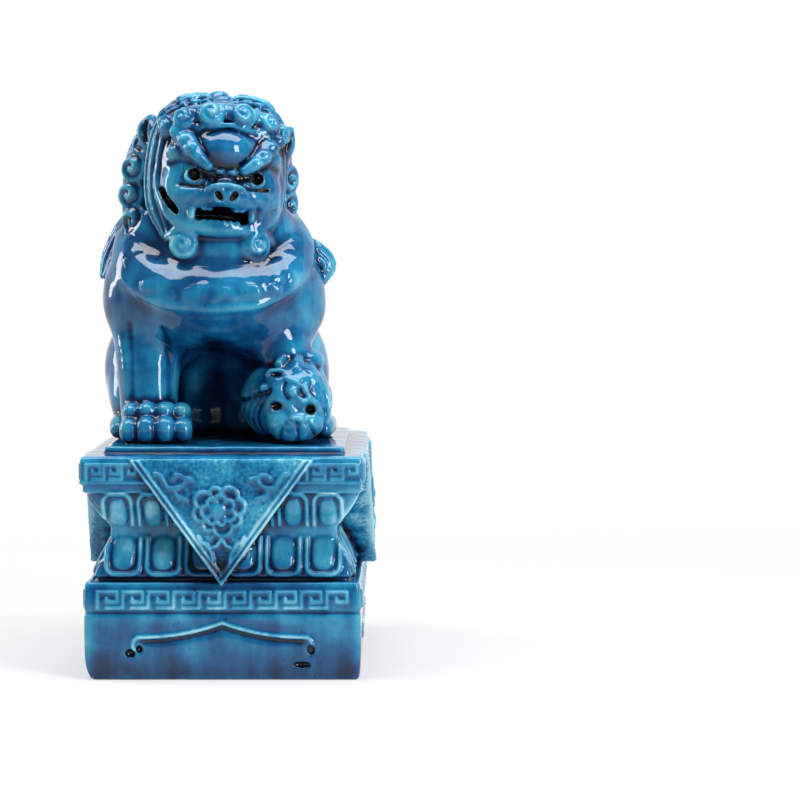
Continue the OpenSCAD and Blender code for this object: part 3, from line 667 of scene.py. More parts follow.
def new_glaze(name, shift=0.0, mottle=0.38, stipple=0.0):
    """A glaze material; shift makes it thinner (+) or deeper (-) all over."""
    material = bpy.data.materials.new(name)
    material.use_nodes = True
    nodes, links = material.node_tree.nodes, material.node_tree.links
    shader = nodes["Principled BSDF"]
    shader.inputs["IOR"].default_value = 1.47

    def maths(kind, a, b):
        node = nodes.new("ShaderNodeMath")
        node.operation = kind
        for socket, value in zip(node.inputs, (a, b)):
            if isinstance(value, (int, float)):
                socket.default_value = value
            else:
                links.new(value, socket)
        return node.outputs[0]

    def noise(scale, detail, stretch=(1, 1, 1)):
        place = nodes.new("ShaderNodeMapping")
        place.inputs["Scale"].default_value = stretch
        links.new(coords.outputs["Object"], place.inputs["Vector"])
        node = nodes.new("ShaderNodeTexNoise")
        node.inputs["Scale"].default_value = scale
        node.inputs["Detail"].default_value = detail
        links.new(place.outputs[0], node.inputs["Vector"])
        return node.outputs["Fac"]

    def reading(title):
        node = nodes.new("ShaderNodeAttribute")
        node.attribute_name = title
        return node.outputs["Fac"]

    coords = nodes.new("ShaderNodeTexCoord")
    cloud = maths("MULTIPLY", maths("SUBTRACT", noise(60.0, 5.0), 0.5), mottle * 1.9)
    run = maths("MULTIPLY", maths("SUBTRACT", noise(150.0, 3.0, (1, 1, 0.2)), 0.5), mottle)
    speck = maths("MULTIPLY", maths("GREATER_THAN", noise(420.0, 1.0), 0.74), -0.12)
    thin_and_shade = maths("ADD", reading("thin_and_shade"), maths("ADD", maths("ADD", cloud, run), speck))
    if stipple:
        thin_and_shade = maths("ADD", thin_and_shade, maths("MULTIPLY", maths("SUBTRACT", noise(620.0, 1.0), 0.5), 0.5 * stipple))
    ramp = nodes.new("ShaderNodeValToRGB")
    stops = ramp.color_ramp.elements
    for place, colour in glaze_colours:
        stops.new(place).color = (*colour, 1)
    stops.remove(stops[0])
    stops.remove(stops[-1])
    links.new(maths("ADD", thin_and_shade, 0.5 + shift), ramp.inputs[0])
    # Mixes in the darkening: burnt glaze, and painted shade in deep cuts.
    burn_and_shade_mix = nodes.new("ShaderNodeMix")
    burn_and_shade_mix.data_type = "RGBA"
    burn_and_shade_mix.inputs["B"].default_value = burnt_and_shade_colour
    links.new(reading("stain_and_shade"), burn_and_shade_mix.inputs["Factor"])
    links.new(ramp.outputs["Color"], burn_and_shade_mix.inputs["A"])
    links.new(burn_and_shade_mix.outputs["Result"], shader.inputs["Base Color"])
    links.new(maths("ADD", maths("MULTIPLY", noise(90.0, 2.0), 0.08), 0.02), shader.inputs["Roughness"])
    bump = nodes.new("ShaderNodeBump")
    bump.inputs["Strength"].default_value = 0.2
    bump.inputs["Distance"].default_value = 0.0006
    ripple = noise(130.0, 2.0)
    if stipple:
        ripple = maths("ADD", ripple, maths("MULTIPLY", noise(800.0, 1.0), stipple))
    links.new(ripple, bump.inputs["Height"])
    links.new(bump.outputs["Normal"], shader.inputs["Normal"])
    return material


plinth_glaze = new_glaze("plinth_glaze", -0.02)
thin_glaze = new_glaze("thin_glaze", -0.03)
cloth_glaze = new_glaze("cloth_glaze", 0.06, 0.44, 0.9)
thin_pieces = ("foot_fret", "upper_lotus_petals", "lower_lotus_petals", "cornice_fret", "apron_hems",
               "peony_sprigs", "cloud_scroll_sprigs", "leaf_stem_sprigs")
for name in plinth.pieces:
    piece = plinth.cast(name)
    ornament = name in thin_pieces
    piece.data.materials.append(thin_glaze if ornament else cloth_glaze if "apron" in name else plinth_glaze)
    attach(piece, "root")
    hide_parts(name)

# Torso.
# The hollow-cast body of the lion, chest forward and rump on the mat. The legs, the tail and the head are
# cast apart and luted to it.
Form = namedtuple("Form", "low high distance")


def unit(vector):
    """The vector with a length of 1."""
    vector = np.array(vector, np.float32)
    return vector / np.linalg.norm(vector)


def along_axis(point, axis):
    """How far a point lies along an axis."""
    return point[0] * axis[0] + point[1] * axis[1] + point[2] * axis[2]


def lump(centre, half):
    """An egg of clay."""
    centre, half = np.array(centre, np.float32), np.array(half, np.float32)

    def distance(x, y, z):
        a, b, c = (x - centre[0]) / half[0], (y - centre[1]) / half[1], (z - centre[2]) / half[2]
        near = np.sqrt(a * a + b * b + c * c) + 1e-4
        slope = np.sqrt((a / half[0]) ** 2 + (b / half[1]) ** 2 + (c / half[2]) ** 2) + 1e-5
        return near * (near - 1) / slope
    return Form(centre - half, centre + half, distance)


def roll(points, steps=4, through=0.0):
    """A rolled coil of clay through points with radii; through stretches it from front to back."""
    run = bend(points, steps)
    thick = run[:, 3].max()
    stretch = np.array((0, through, 0))

    def distance(x, y, z):
        best = far * 9
        for a, b in zip(run, run[1:]):
            along = b[:3] - a[:3]
            px, py, pz = x - a[0], y - a[1], z - a[2]
            if through:
                py = np.sign(py) * np.maximum(np.abs(py) - through, 0)
            t = np.clip(along_axis((px, py, pz), along) / (along @ along + 1e-6), 0, 1)
            near = np.sqrt((px - t * along[0]) ** 2 + (py - t * along[1]) ** 2 + (pz - t * along[2]) ** 2)
            best = np.minimum(best, near - a[3] - t * (b[3] - a[3]))
        return best
    return Form(run[:, :3].min(0) - thick - stretch, run[:, :3].max(0) + thick + stretch, distance)


def lock(points, face, strands=3, flat=0.5, groove=0.45, steps=5):
    """A flattened tress with its broad side turned to face, combed into strands; points hold half widths."""
    run = bend(points, steps)
    thick = run[:, 3].max()

    def distance(x, y, z):
        best, comb = far * 9, 0
        for a, b in zip(run, run[1:]):
            along = b[:3] - a[:3]
            ahead = unit(along)
            side = unit(np.cross(ahead, face))
            out = np.cross(side, ahead)
            away = (x - a[0], y - a[1], z - a[2])
            t = np.clip(along_axis(away, along) / (along @ along), 0, 1)
            away = [offset - t * step for offset, step in zip(away, along)]
            half = a[3] + t * (b[3] - a[3])
            u = along_axis(away, side) / half
            w = along_axis(away, out) / (half * flat)
            e = along_axis(away, ahead) / half
            near = np.sqrt(u * u + w * w + e * e) + 1e-4
            slope = np.sqrt(u * u + (w / flat) ** 2 + e * e) / half + 1e-5
            d = near * (near - 1) / slope
            comb = np.where(d < best, u, comb)
            best = np.minimum(best, d)
        return best + groove * (0.5 + 0.5 * np.cos(np.pi * strands * (np.clip(comb, -1, 1) + 1))) ** 1.5
    return Form(run[:, :3].min(0) - thick, run[:, :3].max(0) + thick, distance)


def curl(centre, face, radius, tall=0.6, turn=1, cut=0.09):
    """A snail curl: a button of hair with a spiral cut into it, standing square to face."""
    centre, out = np.array(centre, np.float32), unit(face)
    side = unit(np.cross(out, (0, 0, 1) if abs(out[2]) < 0.9 else (0, 1, 0)))
    top = np.cross(side, out)
    pitch, depth = radius * 0.62, radius * cut

    def distance(x, y, z):
        away = (x - centre[0], y - centre[1], z - centre[2])
        u, v, w = (along_axis(away, axis) for axis in (side, top, out))
        wide = np.sqrt(u * u + v * v)
        near = np.sqrt((wide / radius) ** 2 + (w / (radius * tall)) ** 2) + 1e-4
        slope = np.sqrt((wide / radius ** 2) ** 2 + (w / (radius * tall) ** 2) ** 2) + 1e-5
        spiral = np.cos(turn * np.arctan2(v, u) - 2 * np.pi * wide / pitch)
        fade = np.clip((1.05 - wide / radius) * 4, 0, 1)
        return near * (near - 1) / slope + depth * (1 - spiral) * fade
    return Form(centre - radius, centre + radius, distance)


def placed(form, at, turn):
    """The form turned by a matrix and moved to a place."""
    ends = np.array((form.low, form.high))
    corners = np.array([ends[list(bits), [0, 1, 2]] for bits in np.ndindex(2, 2, 2)])
    moved = corners @ turn.T + at

    def distance(x, y, z):
        away = (x - at[0], y - at[1], z - at[2])
        return form.distance(*(along_axis(away, axis) for axis in turn.T))
    return Form(moved.min(0), moved.max(0), distance)


torso_low, torso_high = node_box("torso")
spine_x = (torso_low[0] + torso_high[0]) / 2
seat_z = mat_high[2]
lion_nodes = [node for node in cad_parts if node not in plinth.pieces]
lion_low = np.min([node_box(node)[0] for node in lion_nodes], 0) - (spine_x, 0, seat_z)
lion_high = np.max([node_box(node)[1] for node in lion_nodes], 0) - (spine_x, 0, seat_z)
lion_room = 8
lion = Clay(lion_low - lion_room, lion_high + lion_room, (spine_x, 0, seat_z))
both = (-1, 1)

lion.add("torso", [
    lump((0, -6, 66), (38, 32, 26)), lump((0, 22, 46), (35, 30, 34)), lump((0, 33, 24), (37, 27, 25)),
    lump((0, -3, 84), (31, 27, 20)), lump((2, -8, 100), (25, 22, 14)), lump((5, -26, 86), (18.5, 14, 14)),
    lump((2, -16, 58), (32, 27, 16)), lump((0, 32, 6), (38, 28, 12)),
    lump((-23, -8, 92), (14, 15, 13)), lump((24, -8, 92), (13, 15, 13)),
], 12)

# Haunches.
# The hind legs are folded at the lion's sides, each a full thigh on the mat.
for side, name, knee, broad in ((-1, "right", 8, 2), (1, "left", 9, 0)):
    thigh = [lump((side * (33 + broad), 29 - 2 * broad, 27 + broad), (17.5 + broad / 2, 26, 28)),
             lump((side * 35, knee, 15), (13, 13, 15))]
    lion.add(name + "_haunch", thigh, 8, 4)

# Forelegs.
# Full shoulders over thick columns; the right one stands on the mat, the left one bends over the cub.
lion.add("right_foreleg", [
    lump((-33, -5, 67), (17, 22, 21)),
    roll([(-31, -8, 56, 16), (-29.5, -13, 42, 14.8), (-28.5, -16, 28, 14), (-27.8, -18, 14, 13.4),
          (-27.5, -19, 7, 13)]),
], 8, 10)
lion.add("left_foreleg", [
    lump((32.4, -5, 67), (17, 22, 21)),
    roll([(32, -8, 56, 16), (30, -14, 46, 14.5), (32, -20, 37, 12)]),
], 8, 10)
# The hollow under the belly, darkened a little as painted shade.
lion.carve([lump((0.5, -26, 8), (15.6, 34, 35))], 7, 0.12, 3.0)

# Hind paws.
# Three toes in front of each thigh, half under the body.
toe_pitch = 5.2
for name, x, y in (("right", -38, 3), ("left", 44, 2)):
    toes = [roll([(toe, y + 2, 5, 5.6), (toe, y - 8, 5.4, 4.8), (toe, y - 13, 4, 4)], 3)
            for toe in (x - toe_pitch, x, x + toe_pitch)]
    lion.add(name + "_hind_paw", toes, 1.2, 1.5)

# Forepaws.
# Four blunt toes each, with a knuckle behind every one; the left paw is spread over the cub.
right_paw = [lump((-24, -27.4, 9), (15.6, 11, 9)), lump((-24.4, -33, 6), (14, 7, 6))]
right_toes = ((-35.4, -36.6, 6.8, 4.4), (-27.6, -38.4, 7.4, 4.7), (-19.4, -38.6, 7.4, 4.7),
              (-11.8, -37, 6.8, 4.3))
for x, y, z, half in right_toes:
    toe = [(x * 0.96 - 1, y + 6, z + 1.2, half), (x, y, z, half), (x, y - 0.2, 4.2, half - 0.2)]
    right_paw += [roll(toe, 3), lump((x * 0.94 - 1.6, y + 6.4, z + 7), (half - 0.1, 6, 4.0))]
lion.add("right_forepaw", right_paw, 1.2, 1.6)
left_paw = [lump((39, -20, 35.6), (11, 9, 6))]
for wrist, middle, tip in (
        ((34, -24, 36, 3.2), (32, -30.8, 36, 2.8), (30.4, -35.2, 34.8, 2.2)),
        ((38.4, -24, 36, 3.2), (38.4, -31.6, 35.2, 2.8), (38, -36.6, 32.4, 2.2)),
        ((42, -23, 34.4, 3.2), (43.8, -31, 31.8, 2.8), (45.2, -36.2, 27.4, 2.2)),
        ((45, -20, 32.4, 3.2), (48.2, -27.2, 27.4, 2.8), (50.2, -33, 21, 2.2))):
    left_paw.append(roll([wrist, middle, tip], 4))
lion.add("left_forepaw", left_paw, 1.0, 1.6)

# Cub.
# A cub lies under the left forepaw: a furry ball of a body and a broad head that looks out, with a
# cupped ear, deep eyes, a small nose and a broad muzzle, all modelled by hand and luted on.
lion.add("cub_body", [lump((33, -23, 18), (20.5, 16.5, 19))], 2.0, 1.5)
lion.add("cub_head", [
    lump((36, -30, 18.4), (16.5, 14, 18)),
    roll([(29.4, -36, 28.4, 3), (30.6, -38.6, 23.4, 3.8), (31.4, -39.6, 20, 3.4)], 3),
    lump((38.4, -40, 9), (8.6, 6, 6.4)), lump((31.4, -38.6, 9.4), (6.4, 6.4, 7)),
    lump((44.6, -37.6, 9.2), (5.4, 6.2, 5.8)), lump((37.4, -39.6, 3.6), (8, 5, 3.6)),
], 2.5, 1.5)
cub_eyes = [lump((29, -44.6, 16.8), (3.0, 4.6, 1.8)), lump((44.7, -43, 15.4), (2.2, 4.6, 2.1))]
# The cub's eye pits are painted black as painted shade.
lion.carve(cub_eyes, 0.9, 1.0, 0.5)
ring = np.radians(np.arange(0, 361, 45))
ear_rim = [(29 + 3.8 * np.cos(a), -37.4 - 0.8 * np.sin(a), 30.4 + 2 * np.sin(a), 1.0) for a in ring]
lion.add("cub_features", [
    roll(ear_rim, 2), lump((36.8, -43, 22.8), (2.7, 2.2, 2.7)), lump((41.4, -42.8, 19.4), (2.4, 2, 1.8)),
    roll([(34, -40, 28.4, 1.5), (39.6, -41.6, 26.2, 1.8), (43.8, -41.6, 21.6, 1.8),
          (48.6, -37.6, 12, 1.6)], 3),
    lump((38.6, -45.2, 11.4), (3, 1.7, 1.6)), roll([(36.8, -43.2, 13, 1.6), (35.4, -42.8, 18.5, 1.5)], 2),
    roll([(50, -34, 24, 1.3), (52, -34.6, 17, 1.5), (51, -35, 9, 1.3)], 3),
    lump((24.4, -38, 24.4), (2.4, 2, 2)),
], 0.8, 1.2)
# Painted shade in the cub's cupped ear.
lion.carve([lump((29, -39.6, 30.4), (2.7, 3.2, 1.1))], 0.6, 0.3, 0.6)
whiskers = [[(x, -45, 9.6), (x + lean, -45, 5.6), (x + lean, -43, 1.6)]
            for x, lean in ((34, -2.6), (38.6, 0.4), (43, 2.6))]
wrinkles = [[(x, -44, 27), (x - 0.8, -45, 23.4), (x + 1.4, -45, 20.4)] for x in (33.4, 40.6, 45.2)]
coat = [[(x, y, 24 - i), (x - 4.6, y, 16), (x - 5.6, y, 9), (x - 3, y, 2)]
        for i, x, y in ((i, 27 - 2.5 * i, -38.4 + 2.2 * i) for i in range(6))]


def tool_line(line, through=0.0):
    """A thin line for the modelling tool to follow."""
    return roll([(*point, 0.1) for point in line], 3, through)


cub_marks = ((whiskers, 4.0, 0.9, 0.8), (wrinkles, 4.0, 0.8, 0.8), (coat, 6.0, 0.8, 1.2))
for lines, through, width, depth in cub_marks:
    for line in lines:
        lion.scribe(tool_line(line, through), width, depth)

# Tail.
# A broad flame of a tail laid up the back, combed into strands, with three curls at each side.
def laid_on_back(line):
    """Points (x, z, half width) moved back on to the body so far."""
    points = []
    for x, z, half in line:
        i = round(float(x - lion.lines[0][0]) / grain)
        k = round(float(z - lion.lines[2][0]) / grain)
        points.append((x, lion.lines[1][lion.whole[i, :, k] < 0].max(), z, half))
    return points


def sided(side, points):
    """Points drawn for the left side, taken to either."""
    return [(side * x, *rest) for x, *rest in points]


flame = laid_on_back([(0, 8, 8), (0, 26, 10.5), (0, 46, 10), (0, 60, 7.6), (0, 69, 5), (2, 76, 2.8)])
tail = [lock(flame, (0, 1, 0.4), 4, 0.6, 1.0)]
for side in both:
    face = (side * 0.4, 1, 0.3)
    tall_lock = laid_on_back(sided(side, [(6, 12, 5), (12, 32, 6.5), (16, 50, 5.8), (20, 62, 3.2)]))
    low_lock = laid_on_back(sided(side, [(8, 9, 4), (16, 22, 5.2), (22, 35, 4.6), (26, 45, 3)]))
    tail += [lock(tall_lock, face, 3, 0.6, 0.8), lock(low_lock, face, 2, 0.6, 0.7)]
    for *at, radius in laid_on_back(sided(side, [(13.5, 15, 6.5), (20, 62, 5), (26.5, 45, 4.6)])):
        tail.append(curl(at, face, radius, 0.7, side))
lion.add("tail", tail, 1.5, 1.5)

# Collar.
# A smooth ruff round the throat and under it a band over the chest, edged with a bead and worked in low
# relief, all laid on the body as soft clay.
cape_at, dip = np.array((2.0, -12.0, 79.0)), np.radians(19)
about_x = np.array(((1, 0, 0), (0, np.cos(dip), -np.sin(dip)), (0, np.sin(dip), np.cos(dip))))
fold = [(-36, -10, 87, 5), (-30, -24, 77.6, 6.4), (-18, -33.6, 70.6, 7), (-4, -37.6, 67.8, 7.2),
        (10, -37.8, 67.8, 7.2), (23, -33.8, 70.6, 7), (32.5, -24, 77.6, 6.4), (36, -10, 87, 4.6)]
lion.add("neck_ring", [placed(lump((0, 0, 0), (38, 33, 12)), cape_at, about_x), roll(fold, 3)], 4, 5)
rim = [(-38, -2, 94), (-41.5, -13, 83), (-37, -26, 72), (-28, -35, 65), (-17.5, -41.5, 61), (-6, -44.6, 59.8),
       (5.4, -45.4, 59.6), (15, -44.4, 60), (23.5, -41.5, 61.4), (34.3, -34, 67.2), (40, -25, 75),
       (41.5, -13, 84), (36, -2, 93)]
band = [(x * 0.95, y + 4.8, z + 4, 4.4) for x, y, z in rim]
lion.add("chest_collar", [roll(band, 3), roll([(*point, 0.9) for point in rim], 3)], 2, 7)
lion.add("collar_studs", [
    curl((-15, -41.8, 66), (-0.3, -0.95, 0.1), 4.6, 0.3), lump((-24.5, -36.8, 68.8), (5, 1.4, 2)),
    lump((-6, -44.8, 64.8), (3.6, 1.0, 3.2)), lump((-1.6, -45.2, 67.6), (2.2, 0.9, 1.6)),
    roll([(3, -45.6, 63.4, 0.9), (7.4, -45.4, 67, 1.2), (11.4, -45.2, 64.6, 0.9)], 3),
    lump((17.6, -43.6, 66.6), (4.8, 1.1, 2.2)), lump((26.5, -39.2, 67.6), (4.6, 1.3, 1.8)),
    lump((29.4, -36.4, 71.6), (2.4, 1.2, 1.6)), lump((34.4, -32.4, 72), (3, 1.3, 3)),
], 1, 3)

# Head.
# The head is modelled upright about a point inside it, then luted on turned and tilted towards the cub.
head_at = np.array((1.0, -8.0, 113.0))
turn, tilt = np.radians(11), np.radians(4)
about_z = np.array(((np.cos(turn), -np.sin(turn), 0), (np.sin(turn), np.cos(turn), 0), (0, 0, 1)))
about_y = np.array(((np.cos(tilt), 0, np.sin(tilt)), (0, 1, 0), (-np.sin(tilt), 0, np.cos(tilt))))
head_turn = about_z @ about_y


def posed(forms):
    """Forms drawn on the upright head, set on the body with it."""
    return [placed(form, head_at, head_turn) for form in forms]


def symmetric(half):
    """Points from the middle out to the left, with the same on the right before them."""
    return sided(-1, half[:0:-1]) + half


muzzle = symmetric([(0, -36.6, -5.2, 5.7), (14, -31.8, -5.4, 5.4), (21, -25.5, -5.8, 4.8)])
skull_at, skull_half = np.array((0, 2, 14)), np.array((32, 29, 25))
cheek_line = [(26, -15, 3, 3.0), (24.8, -19.2, -7, 3.2), (20.6, -25, -14.6, 3.4), (14.5, -29.8, -18.6, 3.4)]
head = [lump(skull_at, skull_half), lump((0, -14, 8), (27, 22, 22)), roll(muzzle, 4),
        lump((0, -23, -6), (18, 11, 9))]
for side in both:
    head += [lump((side * 18, -22, 0), (8, 9, 7)), lump((side * 15.6, -27, -12.5), (5.4, 5.8, 6.4)),
             lump((side * 8.4, -31, 0.2), (6, 5.4, 2.7)), lump((side * 13, -22, 21), (9, 9, 7)),
             roll(sided(side, cheek_line), 3)]
lion.add("head", posed(head), 3, 3)
jaw = symmetric([(0, -34, -18.8, 3.1), (8, -32.6, -18.7, 3.1), (14.5, -29.2, -18.2, 3.1)])
lion.add("lower_jaw", posed([roll(jaw, 4), lump((0, -26, -20.4), (13, 8.4, 4))]), 2, 2)
mouth = [roll([(-9.6, -35, -13.8, 2.0), (-1, -36, -13.2, 2.5), (8.4, -35, -14.4, 2.6)], 3, 13.0),
         lump((-0.6, -38, -11.2), (5, 12, 1.5))]
slits = [roll([(-26.4, -21, -3.4, 0.8), (-23.2, -23, -8.2, 1.7), (-19.8, -25, -12.8, 1.3)], 3, 5.0),
         roll([(26.4, -16, -4, 0.6), (24.8, -18, -8, 1.3), (22.6, -20, -11.4, 0.9)], 3, 3.0)]
# The mouth and the slits beside it are painted black-brown as painted shade.
lion.carve(posed(mouth + slits), 0.6, 1.0, 0.4)

# Eyes.
# Deep eyes under the brows, each a tall hole coloured black-brown over a ball of clay, partly the eye's own
# colour and partly painted shade, with a thin lid rolled under it.
eye_x, eye_z = 13.1, 3.4
holes = []
for x, wide, tall in ((-eye_x, 2.1, 2.9), (eye_x + 1.2, 2.3, 2.6)):
    corner_x = x + 1.3 * np.sign(x)
    holes += [lump((x, -35.8, eye_z), (wide, 8, tall)), lump((corner_x, -35, eye_z + 0.9), (1.5, 6, 1.4))]
# Black-brown in the eye holes: the eyes' own colour and painted shade.
lion.carve(posed(holes), 0.9, 1.0, 0.35)
eye_forms = []
lid = [(10, -36.4, 2.6, 0.7), (13.2, -35.6, -0.2, 0.9), (17, -33, 1.9, 0.9), (16.6, -32.6, 5, 0.7)]
for side in both:
    eye_forms += [lump((side * eye_x, -26.6, eye_z - 0.2), (3.4, 3.2, 3.8)), roll(sided(side, lid), 3)]
lion.add("eyeballs", posed(eye_forms), 0.6, 1.2)

# Brow.
# A smooth round boss on the forehead between two heavy, lumpy brows, each ending in a small fold over the
# nose and another at its outer corner.
lion.add("forehead_boss", posed([lump((0, -26, 14.8), (14.4, 13.2, 10.6))]), 1.0, 2.5)
brows = {
    "right": [(-8.2, -36.8, 7.4, 2.5), (-11.2, -35.2, 10.2, 3.5), (-13.8, -32.6, 13.6, 4.2),
              (-16.2, -29.2, 17.2, 4.7), (-19.4, -25, 20.6, 4.2)],
    "left": [(8, -36.6, 6.6, 2.5), (11.6, -34.8, 9.2, 3.5), (15, -31.8, 12.6, 4.2), (17.8, -28, 16.4, 4.6),
             (21, -23.6, 20, 4.2)],
}
for name, heavy in brows.items():
    side = np.sign(heavy[0][0])
    folds = [lump((side * 2.7, -37, 4.9), (2.4, 2.0, 1.7)), lump((side * 21.8, -25, 13), (3.4, 3.4, 3))]
    folds += [lump((x * 1.12, y - 1.3, z + 1.0), (0.74 * r, 0.74 * r, 0.7 * r)) for x, y, z, r in heavy[1:]]
    lion.add(name + "_brow", posed([roll(heavy, 3)] + folds), 1.2, 1.8)
    over = [(x * 0.84, y - 1.4, z + r * 0.9) for x, y, z, r in heavy]
    under = [(x * 1.06, y - 1.0, z - r * 1.05) for x, y, z, r in heavy[:4]]
    for crease in posed([tool_line(over, 2.5), tool_line(under, 2.5)]):
        lion.scribe(crease, 0.9, 0.45)
frown = [(-11, -36.2, 3, 0.7), (0, -38, 3.2, 0.8), (11, -36.2, 2.8, 0.7)]
# Painted shade in the crease between the brows.
lion.carve(posed([roll(frown, 3)]), 1.4, 0.6, 1.3)

# Nose and teeth.
# A broad flat nose with rimmed nostrils over the lip; blunt fangs at the mouth's corners, small teeth and
# a tongue, each a pellet of clay pressed into place.
nostrils = ((-3.0, -5.0), (3.2, -4.9))
nose_edge = [(-6.6, -40.4, -6.8, 0.7), (-8.6, -39.4, -4.2, 0.9), (-6.4, -41.4, -1.2, 1.0),
             (0, -42.8, -0.2, 1.0), (6.4, -41.4, -1.0, 1.0), (8.6, -39.4, -3.8, 0.9), (6.8, -40.4, -6.4, 0.7)]
nose = [lump((0, -38.2, -4), (8.8, 4.4, 4.3)), lump((0, -36.2, 1), (4.4, 3, 2.4)), roll(nose_edge, 3)]
nose += [roll([(x + 2.1 * np.cos(a), -42.2, z + 2.6 * np.sin(a), 0.7) for a in ring], 2) for x, z in nostrils]
lion.add("nose", posed(nose), 0.8, 1.6)
holes = []
for x, z in nostrils:
    lean = 0.7 * np.sign(x)
    holes.append(roll([(x - lean, -43.6, z - 1.1, 0.9), (x + lean, -43.6, z + 0.8, 1.2)], 2, 2.0))
# Painted shade in the nostrils.
lion.carve(posed(holes), 0.5, 0.9, 0.4)
fangs = [roll([(x, -33.2, -10, 1.9), (x, -33.6, -14.2, 1.7)], 2) for x in (-13.8, 12.6)]
small_teeth = [lump((x, -36.4, -10.9), (1.2, 1.2, 1.0)) for x in (-8.6, -6, 5.4, 8)]
lion.add("upper_teeth", posed(fangs + small_teeth), 0.6, 1.2)
lower_teeth = [lump((x, -36 + abs(x) * 0.25, -16.8), (1.6, 1.4, 1.6))
               for x in (-8, -5.2, -2.4, 0.6, 3.4, 6.4)]
tongue = lump((0, -28, -17), (8, 6, 2.2))
lion.add("tongue_and_lower_teeth", posed([tongue] + lower_teeth), 0.6, 0.8)
lion.wipe(posed(fangs + small_teeth + lower_teeth))

# Ears.
# Cupped leaf-shaped ears, luted on behind the brows' outer ends.
right_ear = [(-29.5, -5, 15, 4.5), (-32.6, -5, 22, 5.2), (-31.4, -3, 27, 3)]
lion.add("right_ear", posed([lock(right_ear, (-0.55, -0.83, 0), 1, 0.6, 0)]), 1, 1.5)
left_ear = [(25, -9, 12, 5), (28, -12, 19.4, 5.4), (30.2, -12.5, 27, 2)]
lion.add("left_ear", posed([lock(left_ear, (0.5, -0.85, 0), 1, 0.5, 0)]), 1, 1.5)
ear_cups = [roll([(-33.4, -8.6, 17.6, 0.9), (-34.4, -8.4, 22.4, 1.5), (-33.2, -7, 27, 0.8)], 3, 1.5),
            roll([(28, -15, 16.6, 0.8), (29.4, -15.2, 21, 1.3), (30.6, -14.4, 25.4, 0.6)], 3, 1.0)]
# Painted shade in the ears' cups.
lion.carve(posed(ear_cups), 0.8, 0.8, 0.6)

# Curls.
# Snail curls in a row over the brow, two combed tufts above them, and more curls over the back of the head.
def on_skull(lon, lat):
    """A place on the skull by its two angles, and the way out of the skull there."""
    lon, lat = np.radians((lon, lat))
    out = np.array((np.cos(lat) * np.sin(lon), -np.cos(lat) * np.cos(lon), np.sin(lat)))
    return skull_at + skull_half * out, out / skull_half


def skull_curls(places, radius):
    return [curl(*on_skull(lon, lat), radius, 0.62, 1 if lon > 0 else -1) for lon, lat in places]


forelocks = [
    curl((-18.7, -26, 27.6), (-0.45, -0.83, 0.35), 5.6, 0.8, -1),
    curl((-7.6, -30.4, 30), (-0.15, -0.9, 0.4), 6.4, 0.8, -1),
    curl((6, -30.4, 30.2), (0.15, -0.9, 0.4), 6.2, 0.8),
    curl((18.4, -26, 27.6), (0.45, -0.83, 0.35), 5.6, 0.8),
    curl((-25.5, -18, 24.6), (-0.75, -0.6, 0.3), 4.8, 0.7),
    curl((26, -17, 25), (0.75, -0.6, 0.3), 5, 0.7, -1),
]
fringe = symmetric([(0, -27, 30.4, 5.2), (10, -25.4, 29.6, 5), (19, -20.6, 27.4, 4.6)])
hairline = symmetric([(0, -33.6, 26, 1.0), (6.4, -32.8, 24.8, 1.0), (13, -29.6, 24, 1.0), (19, -25.6, 24, 1)])
lion.add("forelock_curls", posed(forelocks + [roll(fringe, 3), roll(hairline, 3)]), 1.2, 2.0)
tuft_lines = ([(-26, -13, 29, 3.6), (-18, -14, 34.2, 5.2), (-9, -13, 36.4, 5.4), (-2.6, -13, 34.6, 3)],
              [(1.6, -13, 35, 3.2), (8, -13, 37.2, 5.2), (17, -13, 35.2, 5.2), (25, -13, 29, 3.2)])
tufts = [lock(line, (0, -0.75, 0.66), 4, 0.6, 1.4) for line in tuft_lines]
crown = [(lon, 62) for lon in (-75, 75)] + [(lon, 52) for lon in (115, 158, 202, 245)] + [(180, 80)]
crown += [(lon, 24) for lon in (115, 140, 165, 195, 220, 245)]
crown += [(lon, -4) for lon in (120, 150, 180, 210, 240)]
lion.add("crown_curls", posed(tufts + skull_curls(crown, 7.4)), 0.8, 1.2)

# Mane.
# Broad combed bands beside the face and, outside them, full locks that end in curls; it falls over the nape.
mane_curls = ((31.6, 1, 16, 6.6, 0.3), (35, 2, 5.6, 7.6, 0), (35.4, 4, -6, 8, -0.1),
              (33.4, 2, -17, 7.6, -0.3), (28.6, -2, -25.4, 5.6, -0.5))
for side, name, full, close in ((-1, "right", 1.5, 0), (1, "left", -3.0, -2.6)):
    by_face = [(19, -13, 33, 6), (25 + close, -13.6, 22, 7.8), (26.8 + close, -13.4, 7, 8.6),
               (26 + close, -14, -8, 8.2), (22.6, -18.4, -20, 5)]
    outer = [(29 + close, 6, 24, 6), (32 + full, 8, 12, 8), (33 + full, 9, -4, 8.4),
             (32 + full, 8, -18, 7.4), (30, 4, -27, 4)]
    rear = [(26, 18, 22, 8), (32, 22, 4, 9), (31, 24, -14, 8), (33, 20, -30, 4)]
    backward = (side * 0.9, 0.3, 0)
    mane = [lock(sided(side, by_face), (side * 0.72, -0.69, 0), 4, 0.46, 0.7),
            lock(sided(side, outer), (side * 0.9, -0.4, 0), 3, 0.7, 0.7),
            lock(sided(side, rear), backward, 4, 0.5, 0.8),
            curl((side * 33, 20, -28), backward, 5.6, 0.6, side)]
    for x, y, z, radius, lean in mane_curls:
        mane.append(curl((side * (x + full), y, z), (side * 0.7, -0.7, lean), radius, 0.6, side, 0.11))
    lion.add(name + "_mane", posed(mane), 1.6, 2.4)
nape = []
